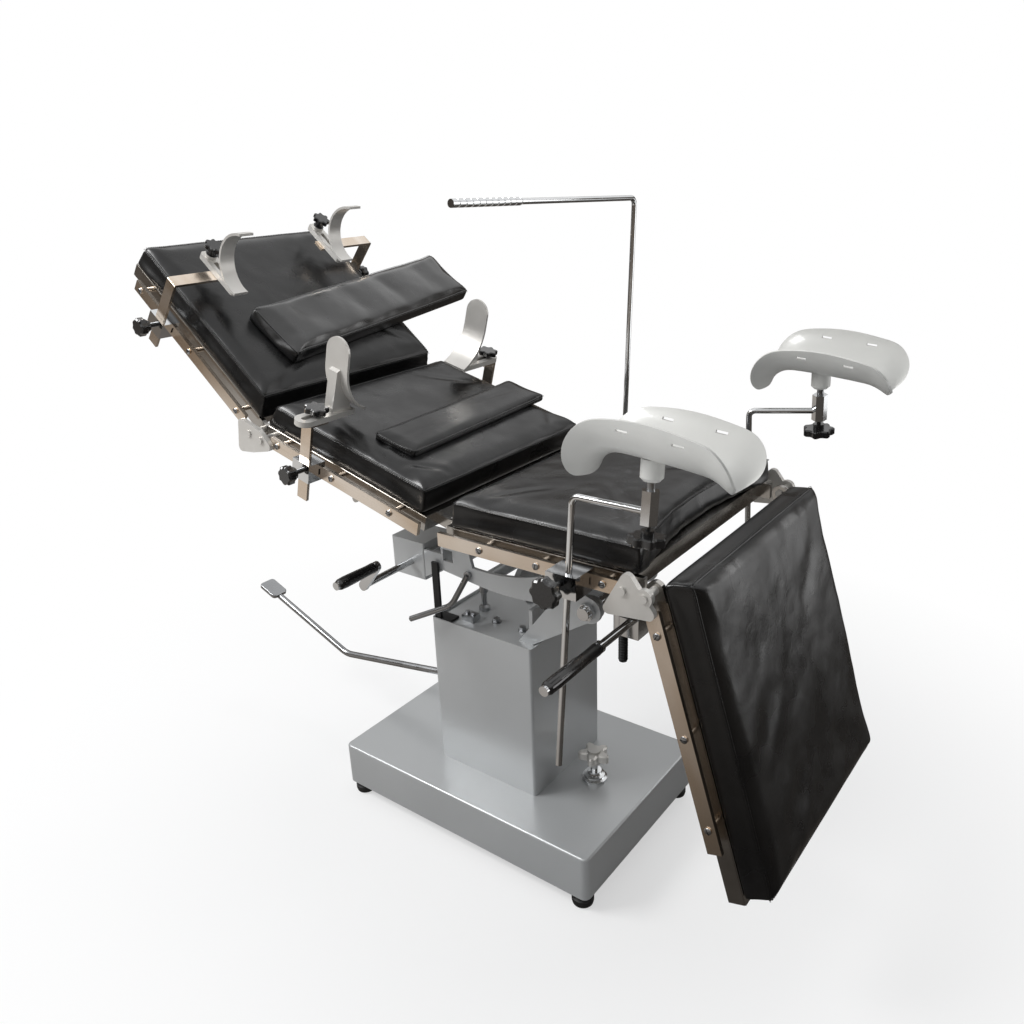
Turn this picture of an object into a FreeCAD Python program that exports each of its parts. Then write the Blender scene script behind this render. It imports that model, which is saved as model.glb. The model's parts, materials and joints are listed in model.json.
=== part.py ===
import FreeCAD, Part
import math
import os

V = FreeCAD.Vector

# Operating table. +X runs to the foot end, -Y is the side of the cranks, +Z is up.
# The origin lies on the floor under the middle of the base. All sizes are in millimetres.

# Base
BASE_LENGTH = 650.0
BASE_WIDTH = 440.0
BASE_CORNER = 14.0
BASE_EDGE = 5.0
BASE_BOTTOM = 31.0
BASE_TOP = 129.0
SHEET = 2.5
BASE_PLATE_THICK = 12.0
BASE_PLATE_RAISE = 3.0
FOOT_RADIUS = 22.0
FOOT_NECK = 14.0
FOOT_RIM = 9.0
FOOT_INSET_X = 25.0
FOOT_INSET_Y = 25.0

# Floor lock on the base
LOCK_X = 206.0
LOCK_SCREW_RADIUS = 8.0
LOCK_SCREW_BOTTOM = 62.0
LOCK_FLANGE_RADIUS = 27.0
LOCK_FLANGE_HEIGHT = 20.0
LOCK_KNOB_RADIUS = 34.0
LOCK_KNOB_THICK = 20.0
LOCK_KNOB_BOTTOM = 176.0
LOCK_KNOB_LOBES = 5

# Column
COLUMN_X = 13.0
COLUMN_LENGTH = 254.0
COLUMN_WIDTH = 246.0
COLUMN_TOP = 475.0
COLUMN_CORNER = 6.0
RAM_RADIUS = 40.0
RAM_BOTTOM = 62.0
CYLINDER_WALL = 12.0
CYLINDER_TOP = 440.0
RUNNING_GAP = 0.05
HEAD_RECESS = 6.0
HEAD_THICK = 6.0
HEAD_GAP = 1.0

# Foot pedal
PEDAL_PIVOT_X = -72.0
PEDAL_PIVOT_Z = 269.0
PEDAL_PIN_RADIUS = 6.0
PEDAL_BOSS_RADIUS = 12.0
PEDAL_BOSS_WIDTH = 26.0
PEDAL_TUBE_RADIUS = 8.0
PEDAL_BEND_X = -545.0
PEDAL_BEND_Z = 188.0
PEDAL_END_X = -795.0
PEDAL_RISE = 21.8
PEDAL_PAD_LENGTH = 62.0
PEDAL_PAD_WIDTH = 46.0
PEDAL_PAD_THICK = 9.0
PEDAL_SLOT_WIDTH = 22.0
PEDAL_SLOT_DOWN = 32.0
PEDAL_SLOT_UP = 12.0
CLEVIS_EAR = 8.0
CLEVIS_GAP = 0.4

# Tilting pivot between the column head and the table's cradle
PIVOT_X = 262.0
PIVOT_Z = 588.0
PIVOT_RADIUS = 12.0
ARM_Y = 88.0
ARM_THICK = 8.0
ARM_EYE = 23.0
ARM_FOOT_X0 = 92.0
ARM_FOOT_X1 = 125.0
ARM_KNEE_X = 172.0
ARM_KNEE_Z = 572.0
ARM_WEB_THICK = 8.0
ARM_WEB_HEIGHT = 70.0
NUT_FLATS = 30.0
NUT_THICK = 14.0
NUT_SLOT = 4.0
POST_X = -101.0
POST_WIDTH = 16.0
POST_THICK = 6.0
POST_Y = -112.0
POST_TOP = 600.0
POST_FOOT = 40.0

# Cradle, its gearbox and its two bearings for the side tilt
CRADLE_Y = 100.0
CRADLE_THICK = 8.0
CRADLE_EYE = 26.0
CRADLE_HEAD_X = -136.0
CRADLE_HIGH_Z = 638.0
CRADLE_LOW_Z = 606.0
CRADLE_STEP_X0 = -89.0
CRADLE_STEP_X1 = -16.0
CRADLE_BELLY_Z = 574.0
CRADLE_WINDOW = 26.0
CROSS_TUBE_RADIUS = 13.0
GEARBOX_LENGTH = 90.0
GEARBOX_WIDTH = 89.0
GEARBOX_BOTTOM = 548.0
GEARBOX_TOP = 630.0
GEARBOX_FRONT_Y = -109.0
GEARBOX_EDGE = 4.0
ROLL_Z = 690.0
ROLL_RADIUS = 14.0
ROLL_EYE = 26.0
BEARING_X0 = 84.0
BEARING_X1 = 214.0
BEARING_THICK = 12.0
BEARING_FOOT = 70.0
BEARING_LOW_HEAD = 582.0
BEARING_LOW_FOOT = 612.0
HANGER_GAP = 3.0
HANGER_THICK = 12.0
HANGER_TOP_WIDTH = 120.0

# Cranks
CRANK_SHAFT_RADIUS = 7.0
CRANK_ARM_WIDTH = 20.0
CRANK_ARM_THICK = 8.0
CRANK_PIN_RADIUS = 5.0
GRIP_RADIUS = 11.0
GRIP_END_GAP = 0.6
TILT_CRANK_X = -174.0
TILT_CRANK_Z = 582.0
TILT_CRANK_END_Y = -243.0
TILT_CRANK_DX = 41.0
TILT_CRANK_DZ = 52.0
TILT_GRIP_LENGTH = 96.0
LEG_CRANK_X = 408.0
LEG_CRANK_Z = 655.0
LEG_CRANK_END_Y = -312.0
LEG_GRIP_LENGTH = 138.0

# Hand lever of the side tilt
LEVER_X = -18.0
LEVER_PIVOT_Z = 590.0
LEVER_BAR_WIDTH = 16.0
LEVER_BAR_THICK = 6.0
LEVER_PIN_RADIUS = 5.0
LEVER_KNEE_X = -44.0
LEVER_KNEE_Y = -137.0
LEVER_KNEE_Z = 526.0
LEVER_ROD_RADIUS = 6.0
LEVER_TIP_X = -143.0
LEVER_TIP_Y = -156.0
LEVER_TIP_Z = 476.0

# What the four sections share. Each is drawn flat, with its hinge axis at the origin.
HALF_WIDTH = 250.0
BAR_THICK = 10.0
BAR_DEPTH = 28.0
CROSS_BAR = 8.0
PANEL_THICK = 2.0
PAD_THICK = 56.0
PAD_GAP = 0.3
PAD_EDGE = 9.0
RAIL_HEIGHT = 25.0
RAIL_THICK = 8.0
RAIL_STANDOFF = 17.0
SPACER_RADIUS = 5.0
RAIL_SCREW_RADIUS = 6.0
RAIL_SCREW_HEIGHT = 2.0
HINGE_RADIUS = 7.0
HINGE_EYE = 14.0
CASTING_THICK = 10.0
CASTING_GAP = 0.4
LUG_Y = 198.0
LUG_THICK = 8.0
LUG_GAP = 1.0

# Seat section
SEAT_Z = 758.0
SEAT_X0 = 60.0
SEAT_X1 = 432.0
SEAT_PAD_X0 = 72.0
SEAT_PAD_X1 = 444.0
SEAT_CUT_DEPTH = 30.0
SEAT_RAIL_END = 424.0
SEAT_BAR_END = 452.0

# Hinge axes of the back, head and leg sections
BACK_HINGE_X = 40.0
BACK_ANGLE = 15.3
BACK_LENGTH = 479.0
BACK_FRAME_START = 32.0
BACK_PAD_START = 42.0
HEAD_ANGLE = 40.0
HEAD_LENGTH = 475.0
LEG_HINGE_X = 470.0
LEG_ANGLE = 73.0
LEG_LENGTH = 540.0
LEG_PAD_START = -8.0
PAD_BEVEL = 19.0
PAD_END = 14.0

# Leg drive under the foot end of the seat
SCREW_X = 388.0
SCREW_Y = -200.0
SCREW_RADIUS = 8.0
SCREW_BOTTOM = 572.0
SCREW_TOP = 692.0
SCREW_PITCH = 5.0
SCREW_DEPTH = 1.2
BLOCK_SIZE = 34.0
BLOCK_BOTTOM = 628.0
NUT_BOSS = 16.0

# Kidney bridge
BRIDGE_U = -186.0
BRIDGE_WIDTH = 94.0
BRIDGE_LENGTH = 446.0
BRIDGE_THICK = 21.0
BRIDGE_SKEW = 3.0
BRIDGE_MID_Y = 30.0
BRIDGE_PLATE = 3.0
BRIDGE_PLATE_WIDTH = 50.0
BRIDGE_PLATE_LENGTH = 330.0
BRIDGE_ROD_RADIUS = 6.0
BRIDGE_ROD_Y = 120.0
BRIDGE_ROD_HOLE = 8.0
BRIDGE_BAR_W = -52.0
BRIDGE_BAR_THICK = 6.0
BRIDGE_BAR_WIDTH = 20.0

# Arm board pad lying across the head section
ARM_PAD_U = -190.0
ARM_PAD_Y = 166.0
ARM_PAD_LENGTH = 626.0
ARM_PAD_WIDTH = 140.0
ARM_PAD_THICK = 40.0
ARM_PAD_SKEW = 6.5

# Rail clamps, their strips and their knobs
CLAMP_LENGTH = 46.0
CLAMP_HEIGHT = 38.0
CLAMP_LIP = 5.0
CLAMP_FRONT = 27.0
STRIP_WIDTH = 26.0
STRIP_THICK = 6.0
STRIP_GAP = 0.3
STRIP_DEPTH = 14.0
KNOB_RADIUS = 19.0
KNOB_THICK = 18.0
KNOB_STEM = 22.0
KNOB_STEM_RADIUS = 5.0
KNOB_FLUTES = 8

# Shoulder supports on the head section
SHOULDER_U = -316.0
SHOULDER_FAR_SHIFT = -49.0
SHOULDER_FAR_REACH = 25.0
SHOULDER_LOW = -54.0
SHOULDER_TOP = 116.0
SHOULDER_BAR_END_Y = 178.0
BLADE_RADIUS = 65.0
BLADE_CENTRE_U = 60.0
BLADE_WIDTH = 34.0
BLADE_OUT = 2.0
BLADE_THICK = 5.0
BLADE_DOWN = 102.0
BLADE_UP = 64.0
SLIDER_HEAD = 58.0
SLIDER_FOOT = 64.0
SLIDER_WIDTH = 30.0
SLIDER_SLOT = 46.0
SLIDER_THICK = 12.0
SUPPORT_KNOB_RADIUS = 20.0
SUPPORT_KNOB_THICK = 11.0
SUPPORT_KNOB_LOBES = 7
SUPPORT_KNOB_STEM = 12.0
SUPPORT_KNOB_HUB = 9.0
SUPPORT_SCREW_RADIUS = 4.5

# Side supports on the back section
SIDE_U = -306.0
SIDE_FAR_SHIFT = -26.0
SIDE_LOW = -64.0
SIDE_TOP = 98.0
SIDE_ARM_INNER_Y = 190.0
SIDE_ARM_LENGTH = 128.0
SIDE_ARM_WIDTH = 36.0
SIDE_ARM_THICK = 11.0
SIDE_FAR_REACH = 18.0
SIDE_SLOT_WIDTH = 11.0
SIDE_SLOT_LENGTH = 60.0
SIDE_SLOT_END = 12.0
SIDE_LIP = 42.0
SIDE_KNOB_IN = 22.0
SIDE_KNOB_RADIUS = 24.0
SIDE_KNOB_STEM = 6.0
PADDLE_WIDTH = 58.0
PADDLE_TOP = 254.0
PADDLE_THICK = 5.0
PADDLE_OUT = 35.0
PADDLE_STRAIGHT = 196.0
PADDLE_SWEEP_RADIUS = 94.0
PADDLE_SWEEP = 64.0
RIB_WIDTH = 22.0
RIB_DEPTH = 12.0
RIB_TOP = 190.0

# Leg holders on the seat rails
HOLDER_X = 350.0
HOLDER_FAR_SHIFT = 32.0
HOLDER_LEAN = 6.5
HOLDER_ROD_RADIUS = 5.5
HOLDER_ROD_Y = 303.0
HOLDER_ROD_BELOW = 312.0
HOLDER_ROD_ABOVE = 140.0
HOLDER_BEND = 12.0
HOLDER_ARM = 128.0
HOLDER_FAR_TURN = 20.0
SHELL_FAR_TURN = -20.0
HOLDER_CLAMP_LENGTH = 56.0
HOLDER_CLAMP_OFFSET = 6.0
HOLDER_CLAMP_FRONT = 40.0
HOLDER_KNOB_RADIUS = 26.0
HEX_FLATS = 24.0
HEX_BELOW = 18.0
HEX_ABOVE = 32.0
HEX_SCREW_RADIUS = 4.0
NECK_RADIUS = 6.0
NECK_HEIGHT = 13.0
SOCKET_RADIUS = 17.0
SOCKET_HEIGHT = 30.0
STAR_RADIUS = 29.0
STAR_THICK = 14.0
STAR_LOBES = 7
STAR_DROP = 16.0
SHELL_HEAD_START = -39.0
SHELL_FOOT_START = 85.0
SHELL_ROLL_RADIUS = 62.0
SHELL_HEAD_TURN = 78.0
SHELL_FOOT_TURN = 42.0
SHELL_HALF_WIDTH = 70.0
SHELL_DEPTH = 54.0
SHELL_HEAD_DEPTH = 12.0
SHELL_FOOT_DEPTH = 34.0
SHELL_TIP_WIDTH = 24.0
SHELL_THICK = 4.0
SHELL_PITCH = 5.5
SHELL_SLOT_LENGTH = 18.0
SHELL_SLOT_HEIGHT = 4.0
SHELL_SLOT_DROP = 13.0
SHELL_SLOT_STEP = 83.0

# Anaesthesia screen on the far seat rail
SCREEN_X = 104.0
SCREEN_LEAN = 2.2
SCREEN_ROD_RADIUS = 5.0
SCREEN_BOTTOM = 700.0
SCREEN_TOP = 1277.0
SCREEN_BEND = 14.0
SCREEN_REACH = 550.0
SCREEN_RISE = 2.0
SCREEN_SLEEVE_RADIUS = 6.5
SCREEN_SLEEVE_LENGTH = 174.0
SCREEN_SLEEVE_GROOVES = 11

# Worked-out places
PAD_LOW = BAR_DEPTH / 2 + PANEL_THICK + PAD_GAP
PAD_HIGH = PAD_LOW + PAD_THICK
HINGE_Z = SEAT_Z - BAR_DEPTH / 2
HEAD_TOP_Z = COLUMN_TOP - HEAD_RECESS
RAIL_INNER = HALF_WIDTH + RAIL_STANDOFF
RAIL_OUTER = RAIL_INNER + RAIL_THICK
CLAMP_OUTER = RAIL_OUTER + CLAMP_FRONT
STRIP_Y = CLAMP_OUTER - STRIP_DEPTH


# Small drawing helpers

def box(x0, x1, y0, y1, z0, z1):
    return Part.makeBox(x1 - x0, y1 - y0, z1 - z0, V(x0, y0, z0))


def rod(start, end, radius):
    along = end - start
    return Part.makeCylinder(radius, along.Length, start, along)


def tube(start, end, radius, bore):
    return rod(start, end, radius).cut(rod(start, end, bore))


def plate_xz(points, y0, y1):
    # A flat plate with its outline in the X-Z plane.
    corners = [V(x, y0, z) for x, z in points]
    face = Part.Face(Part.makePolygon(corners + corners[:1]))
    return face.extrude(V(0, y1 - y0, 0))


def plate_yz(points, x0, x1):
    # A flat plate with its outline in the Y-Z plane.
    corners = [V(x0, y, z) for y, z in points]
    face = Part.Face(Part.makePolygon(corners + corners[:1]))
    return face.extrude(V(x1 - x0, 0, 0))


def disc_y(x, z, radius, y0, y1):
    return rod(V(x, y0, z), V(x, y1, z), radius)


def disc_x(y, z, radius, x0, x1):
    return rod(V(x0, y, z), V(x1, y, z), radius)


def fused(*shapes):
    whole = shapes[0].multiFuse(list(shapes[1:]))
    return whole.removeSplitter()


def group(*shapes):
    return Part.makeCompound(list(shapes))


def both_sides(shape):
    return group(shape, mirrored(shape))


def mirrored(shape):
    return shape.mirror(V(0, 0, 0), V(0, 1, 0))


def revolved(points):
    # A solid turned about the Z axis from (radius, height) points.
    corners = [V(r, 0, z) for r, z in points]
    face = Part.Face(Part.makePolygon(corners + corners[:1]))
    return face.revolve(V(0, 0, 0), V(0, 0, 1), 360)


def upright_edges(shape):
    return [e for e in shape.Edges if e.Length > 1 and is_upright(e)]


def is_upright(edge):
    ends = [v.Point for v in edge.Vertexes]
    return len(ends) == 2 and abs(abs(ends[0].z - ends[1].z) - edge.Length) < 0.001


def level_edges(shape, z):
    return [e for e in shape.Edges if all(abs(v.Z - z) < 0.001 for v in e.Vertexes)]


def bent_rod(points, bend, radius):
    # A round rod along straight stretches, with a round bend of one radius at each corner.
    edges = []
    start = points[0]
    for corner, after in zip(points[1:-1], points[2:]):
        back = (start - corner).normalize()
        ahead = (after - corner).normalize()
        half = math.acos(back.dot(ahead)) / 2
        reach = bend / math.tan(half)
        first = corner + back * reach
        last = corner + ahead * reach
        middle_way = (back + ahead).normalize()
        middle = corner + middle_way * (bend / math.sin(half) - bend)
        edges.append(Part.LineSegment(start, first).toShape())
        edges.append(Part.Arc(first, middle, last).toShape())
        start = last
    edges.append(Part.LineSegment(start, points[-1]).toShape())
    spine = Part.Wire(edges)
    ring = Part.Wire([Part.makeCircle(radius, points[0], points[1] - points[0])])
    return spine.makePipeShell([ring], True, False)


def lobed_disc(radius, lobes, depth, thick):
    # A disc with a wavy rim, standing on the X-Y plane, its two rims broken by a chamfer.
    points = []
    steps = lobes * 6
    for step in range(steps):
        angle = 2 * math.pi * step / steps
        reach = radius - depth * (0.5 - 0.5 * math.cos(lobes * angle))
        points.append(V(reach * math.cos(angle), reach * math.sin(angle), 0))
    curve = Part.BSplineCurve()
    curve.interpolate(Points=points, PeriodicFlag=True)
    face = Part.Face(Part.Wire([curve.toShape()]))
    disc = face.extrude(V(0, 0, thick))
    rims = level_edges(disc, 0) + level_edges(disc, thick)
    return disc.makeChamfer(thick * 0.16, rims)


def along_y(shape, x, y, z, outward):
    # Turns a piece drawn up the Z axis so that its top points to +Y or -Y.
    turned = shape.rotated(V(0, 0, 0), V(1, 0, 0), -90 * outward)
    return turned.translated(V(x, y, z))


def hex_bolt(x, y, z, flats, thick):
    corner = flats / math.sqrt(3)
    points = []
    for k in range(7):
        angle = math.radians(60 * k)
        points.append(V(x + corner * math.cos(angle), y + corner * math.sin(angle), z))
    return Part.Face(Part.makePolygon(points)).extrude(V(0, 0, thick))


def on_back(shape):
    turned = shape.rotated(V(0, 0, 0), V(0, 1, 0), BACK_ANGLE)
    return turned.translated(V(BACK_HINGE_X, 0, HINGE_Z))


def on_head(shape):
    turned = shape.rotated(V(0, 0, 0), V(0, 1, 0), HEAD_ANGLE)
    return turned.translated(head_hinge())


def on_leg(shape):
    turned = shape.rotated(V(0, 0, 0), V(0, 1, 0), LEG_ANGLE)
    return turned.translated(V(LEG_HINGE_X, 0, HINGE_Z))


def on_seat(shape):
    # The seat is drawn with its own heights counted from the hinge axes.
    return shape.translated(V(0, 0, HINGE_Z))


def head_hinge():
    angle = math.radians(BACK_ANGLE)
    x = BACK_HINGE_X - BACK_LENGTH * math.cos(angle)
    z = HINGE_Z + BACK_LENGTH * math.sin(angle)
    return V(x, 0, z)


def save(name, shape):
    shape.exportStep("parts/" + name + ".step")


# Base

def base_cover():
    half_l = BASE_LENGTH / 2
    half_w = BASE_WIDTH / 2
    outer = box(-half_l, half_l, -half_w, half_w, BASE_BOTTOM, BASE_TOP)
    outer = outer.makeFillet(BASE_CORNER, upright_edges(outer))
    outer = outer.makeFillet(BASE_EDGE, level_edges(outer, BASE_TOP))
    inner = box(-half_l + SHEET, half_l - SHEET, -half_w + SHEET, half_w - SHEET,
                BASE_BOTTOM - 1, BASE_TOP - SHEET)
    inner = inner.makeFillet(BASE_CORNER - SHEET, upright_edges(inner))
    inner = inner.makeFillet(BASE_EDGE - SHEET, level_edges(inner, BASE_TOP - SHEET))
    cylinder_hole = rod(V(COLUMN_X, 0, BASE_BOTTOM), V(COLUMN_X, 0, BASE_TOP + 1),
                        RAM_RADIUS + CYLINDER_WALL + HEAD_GAP)
    lock_hole = rod(V(LOCK_X, 0, BASE_BOTTOM), V(LOCK_X, 0, BASE_TOP + 1),
                    LOCK_SCREW_RADIUS + HEAD_GAP)
    return outer.cut(inner).cut(cylinder_hole).cut(lock_hole)


def base_plate():
    half_l = BASE_LENGTH / 2 - SHEET - CLEVIS_GAP
    half_w = BASE_WIDTH / 2 - SHEET - CLEVIS_GAP
    bottom = BASE_BOTTOM + BASE_PLATE_RAISE
    top = bottom + BASE_PLATE_THICK
    plate = box(-half_l, half_l, -half_w, half_w, bottom, top)
    plate = plate.makeFillet(BASE_CORNER - SHEET, upright_edges(plate))
    lock_hole = rod(V(LOCK_X, 0, bottom - 1), V(LOCK_X, 0, top + 1), LOCK_SCREW_RADIUS + HEAD_GAP)
    return plate.cut(lock_hole)


def feet():
    top = BASE_BOTTOM + BASE_PLATE_RAISE
    dome = [(0, 0), (FOOT_RADIUS * 0.72, 0), (FOOT_RADIUS * 0.93, 3), (FOOT_RADIUS, FOOT_RIM),
            (FOOT_RADIUS, FOOT_RIM + 8), (FOOT_NECK, FOOT_RIM + 13), (FOOT_NECK, top), (0, top)]
    foot = revolved(dome)
    x = BASE_LENGTH / 2 - FOOT_INSET_X
    y = BASE_WIDTH / 2 - FOOT_INSET_Y
    return group(*[foot.translated(V(sx * x, sy * y, 0)) for sx in (-1, 1) for sy in (-1, 1)])


def column_cover():
    x0 = COLUMN_X - COLUMN_LENGTH / 2
    x1 = COLUMN_X + COLUMN_LENGTH / 2
    y1 = COLUMN_WIDTH / 2
    outer = box(x0, x1, -y1, y1, BASE_TOP, COLUMN_TOP)
    outer = outer.makeFillet(COLUMN_CORNER, upright_edges(outer))
    inner = box(x0 + SHEET, x1 - SHEET, -y1 + SHEET, y1 - SHEET, BASE_TOP - 1, COLUMN_TOP + 1)
    inner = inner.makeFillet(COLUMN_CORNER - SHEET, upright_edges(inner))
    slot = box(x0 - 1, x0 + SHEET + 1, -PEDAL_SLOT_WIDTH / 2, PEDAL_SLOT_WIDTH / 2,
               PEDAL_PIVOT_Z - PEDAL_SLOT_DOWN, PEDAL_PIVOT_Z + PEDAL_SLOT_UP)
    return outer.cut(inner).cut(slot)


def hydraulic_cylinder():
    # The barrel stands on the base plate and carries the clevis of the pedal on its head side.
    bottom = BASE_BOTTOM + BASE_PLATE_RAISE + BASE_PLATE_THICK
    radius = RAM_RADIUS + CYLINDER_WALL
    barrel = tube(V(COLUMN_X, 0, bottom), V(COLUMN_X, 0, CYLINDER_TOP), radius,
                  RAM_RADIUS + RUNNING_GAP)
    floor = rod(V(COLUMN_X, 0, bottom), V(COLUMN_X, 0, RAM_BOTTOM - 2), radius)
    ear_in = PEDAL_BOSS_WIDTH / 2 + CLEVIS_GAP
    ear_out = ear_in + CLEVIS_EAR
    ear = plate_xz([(COLUMN_X - radius + 6, PEDAL_PIVOT_Z + 34),
                    (PEDAL_PIVOT_X, PEDAL_PIVOT_Z + 14),
                    (PEDAL_PIVOT_X - 14, PEDAL_PIVOT_Z),
                    (PEDAL_PIVOT_X, PEDAL_PIVOT_Z - 14),
                    (COLUMN_X - radius + 6, PEDAL_PIVOT_Z - 34)], ear_in, ear_out)
    pin = disc_y(PEDAL_PIVOT_X, PEDAL_PIVOT_Z, PEDAL_PIN_RADIUS, -ear_out, ear_out)
    whole = fused(barrel, floor, ear, mirrored(ear), pin)
    return whole


def lock_flange():
    r = LOCK_FLANGE_RADIUS
    bore = LOCK_SCREW_RADIUS + RUNNING_GAP
    h = LOCK_FLANGE_HEIGHT
    steps = [(bore, 0), (r, 0), (r, 4), (r * 0.82, 6), (r * 0.82, 11), (r * 0.56, 13),
             (r * 0.56, h), (bore, h)]
    return revolved(steps).translated(V(LOCK_X, 0, BASE_TOP))


def floor_lock_knob():
    screw = rod(V(0, 0, LOCK_SCREW_BOTTOM), V(0, 0, LOCK_KNOB_BOTTOM + 4), LOCK_SCREW_RADIUS)
    star = lobed_disc(LOCK_KNOB_RADIUS, LOCK_KNOB_LOBES, LOCK_KNOB_RADIUS * 0.42, LOCK_KNOB_THICK)
    star = star.translated(V(0, 0, LOCK_KNOB_BOTTOM))
    hub = rod(V(0, 0, LOCK_KNOB_BOTTOM - 8), V(0, 0, LOCK_KNOB_BOTTOM + LOCK_KNOB_THICK + 4), 14)
    return fused(screw, star, hub).translated(V(LOCK_X, 0, 0))


def foot_pedal():
    z = PEDAL_PIVOT_Z
    rise = math.tan(math.radians(PEDAL_RISE)) * (PEDAL_BEND_X - PEDAL_END_X)
    end = V(PEDAL_END_X, 0, PEDAL_BEND_Z + rise)
    arm = bent_rod([V(PEDAL_PIVOT_X, 0, z), V(PEDAL_BEND_X, 0, PEDAL_BEND_Z), end], 60,
                   PEDAL_TUBE_RADIUS)
    boss = disc_y(PEDAL_PIVOT_X, z, PEDAL_BOSS_RADIUS, -PEDAL_BOSS_WIDTH / 2, PEDAL_BOSS_WIDTH / 2)
    pad = box(-PEDAL_PAD_LENGTH, 0, -PEDAL_PAD_WIDTH / 2, PEDAL_PAD_WIDTH / 2,
              -PEDAL_PAD_THICK / 2, PEDAL_PAD_THICK / 2)
    pad = pad.makeFillet(9, upright_edges(pad))
    pad = pad.makeFillet(2, level_edges(pad, PEDAL_PAD_THICK / 2))
    pad = pad.rotated(V(0, 0, 0), V(0, 1, 0), PEDAL_RISE)
    pad = pad.translated(end + V(6, 0, 4))
    bore = disc_y(PEDAL_PIVOT_X, z, PEDAL_PIN_RADIUS + RUNNING_GAP, -30, 30)
    return fused(arm, boss, pad).cut(bore)


# Lifting head on the ram

def ram():
    top = HEAD_TOP_Z - HEAD_THICK
    return rod(V(COLUMN_X, 0, RAM_BOTTOM), V(COLUMN_X, 0, top), RAM_RADIUS)


def pivot_arm():
    # One welded arm from the head plate to the tilting pivot, in the X-Z plane.
    drop = math.radians(-62)
    low = (PIVOT_X + ARM_EYE * math.cos(drop), PIVOT_Z + ARM_EYE * math.sin(drop))
    outline = [(ARM_FOOT_X0, HEAD_TOP_Z), (ARM_FOOT_X1, HEAD_TOP_Z), low,
               (PIVOT_X, PIVOT_Z), (PIVOT_X - 4, PIVOT_Z + ARM_EYE - 1), (ARM_KNEE_X, ARM_KNEE_Z)]
    web = plate_xz(outline, ARM_Y, ARM_Y + ARM_THICK)
    eye = disc_y(PIVOT_X, PIVOT_Z, ARM_EYE, ARM_Y, ARM_Y + ARM_THICK)
    hole = disc_y(PIVOT_X, PIVOT_Z, PIVOT_RADIUS, ARM_Y - 1, ARM_Y + ARM_THICK + 1)
    return fused(web, eye).cut(hole)


def lift_head():
    x = COLUMN_LENGTH / 2 - SHEET - HEAD_GAP
    y = COLUMN_WIDTH / 2 - SHEET - HEAD_GAP
    plate = box(COLUMN_X - x, COLUMN_X + x, -y, y, HEAD_TOP_Z - HEAD_THICK, HEAD_TOP_Z)
    plate = plate.makeFillet(COLUMN_CORNER - SHEET, upright_edges(plate))
    arm = pivot_arm()
    web = box(ARM_FOOT_X1 - 12, ARM_FOOT_X1 - 12 + ARM_WEB_THICK, -ARM_Y, ARM_Y,
              HEAD_TOP_Z, HEAD_TOP_Z + ARM_WEB_HEIGHT)
    return fused(plate, arm, mirrored(arm), web)


def head_fittings():
    # Flange bolts into the ram, and the stop block with its pin.
    z = HEAD_TOP_Z
    pieces = []
    for x in (COLUMN_X - 5, COLUMN_X + 62):
        for y in (-59, 59):
            washer = rod(V(x, y, z), V(x, y, z + 2), 10)
            pieces.append(fused(washer, hex_bolt(x, y, z + 2, 13, 7)))
    block = box(-58, -28, -92, -68, z, z + 14)
    pieces.append(block)
    for x in (-51, -35):
        pieces.append(hex_bolt(x, -80, z + 14, 9, 5))
    pin = revolved([(0, 0), (12, 0), (12, 8), (6, 12), (6, 40), (9, 42), (9, 56), (0, 56)])
    pieces.append(pin.translated(V(-48, -28, z)))
    return group(*pieces)


def castle_nut(y):
    nut = hex_bolt(0, 0, 0, NUT_FLATS, NUT_THICK)
    crown = rod(V(0, 0, NUT_THICK - 5), V(0, 0, NUT_THICK + 1), NUT_FLATS)
    crown = crown.cut(rod(V(0, 0, NUT_THICK - 5), V(0, 0, NUT_THICK + 1), NUT_FLATS * 0.47))
    nut = nut.cut(crown)
    for turn in (0, 60, 120):
        slot = box(-NUT_FLATS, NUT_FLATS, -NUT_SLOT / 2, NUT_SLOT / 2, NUT_THICK - 5, NUT_THICK + 1)
        nut = nut.cut(slot.rotated(V(0, 0, 0), V(0, 0, 1), turn))
    return along_y(nut, PIVOT_X, y, PIVOT_Z, 1 if y > 0 else -1)


def pivot_pin():
    reach = CRADLE_Y + CRADLE_THICK + 1
    pin = disc_y(PIVOT_X, PIVOT_Z, PIVOT_RADIUS, -reach - NUT_THICK - 4, reach + NUT_THICK + 4)
    return fused(pin, castle_nut(reach), castle_nut(-reach))


def guide_post():
    x0 = POST_X - POST_WIDTH / 2
    post = box(x0, x0 + POST_WIDTH, POST_Y - POST_THICK, POST_Y, HEAD_TOP_Z, POST_TOP)
    foot = box(x0, x0 + POST_FOOT, POST_Y - POST_THICK, POST_Y + POST_FOOT * 0.6,
               HEAD_TOP_Z, HEAD_TOP_Z + 5)
    return fused(post, foot)


# Cradle

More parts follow.
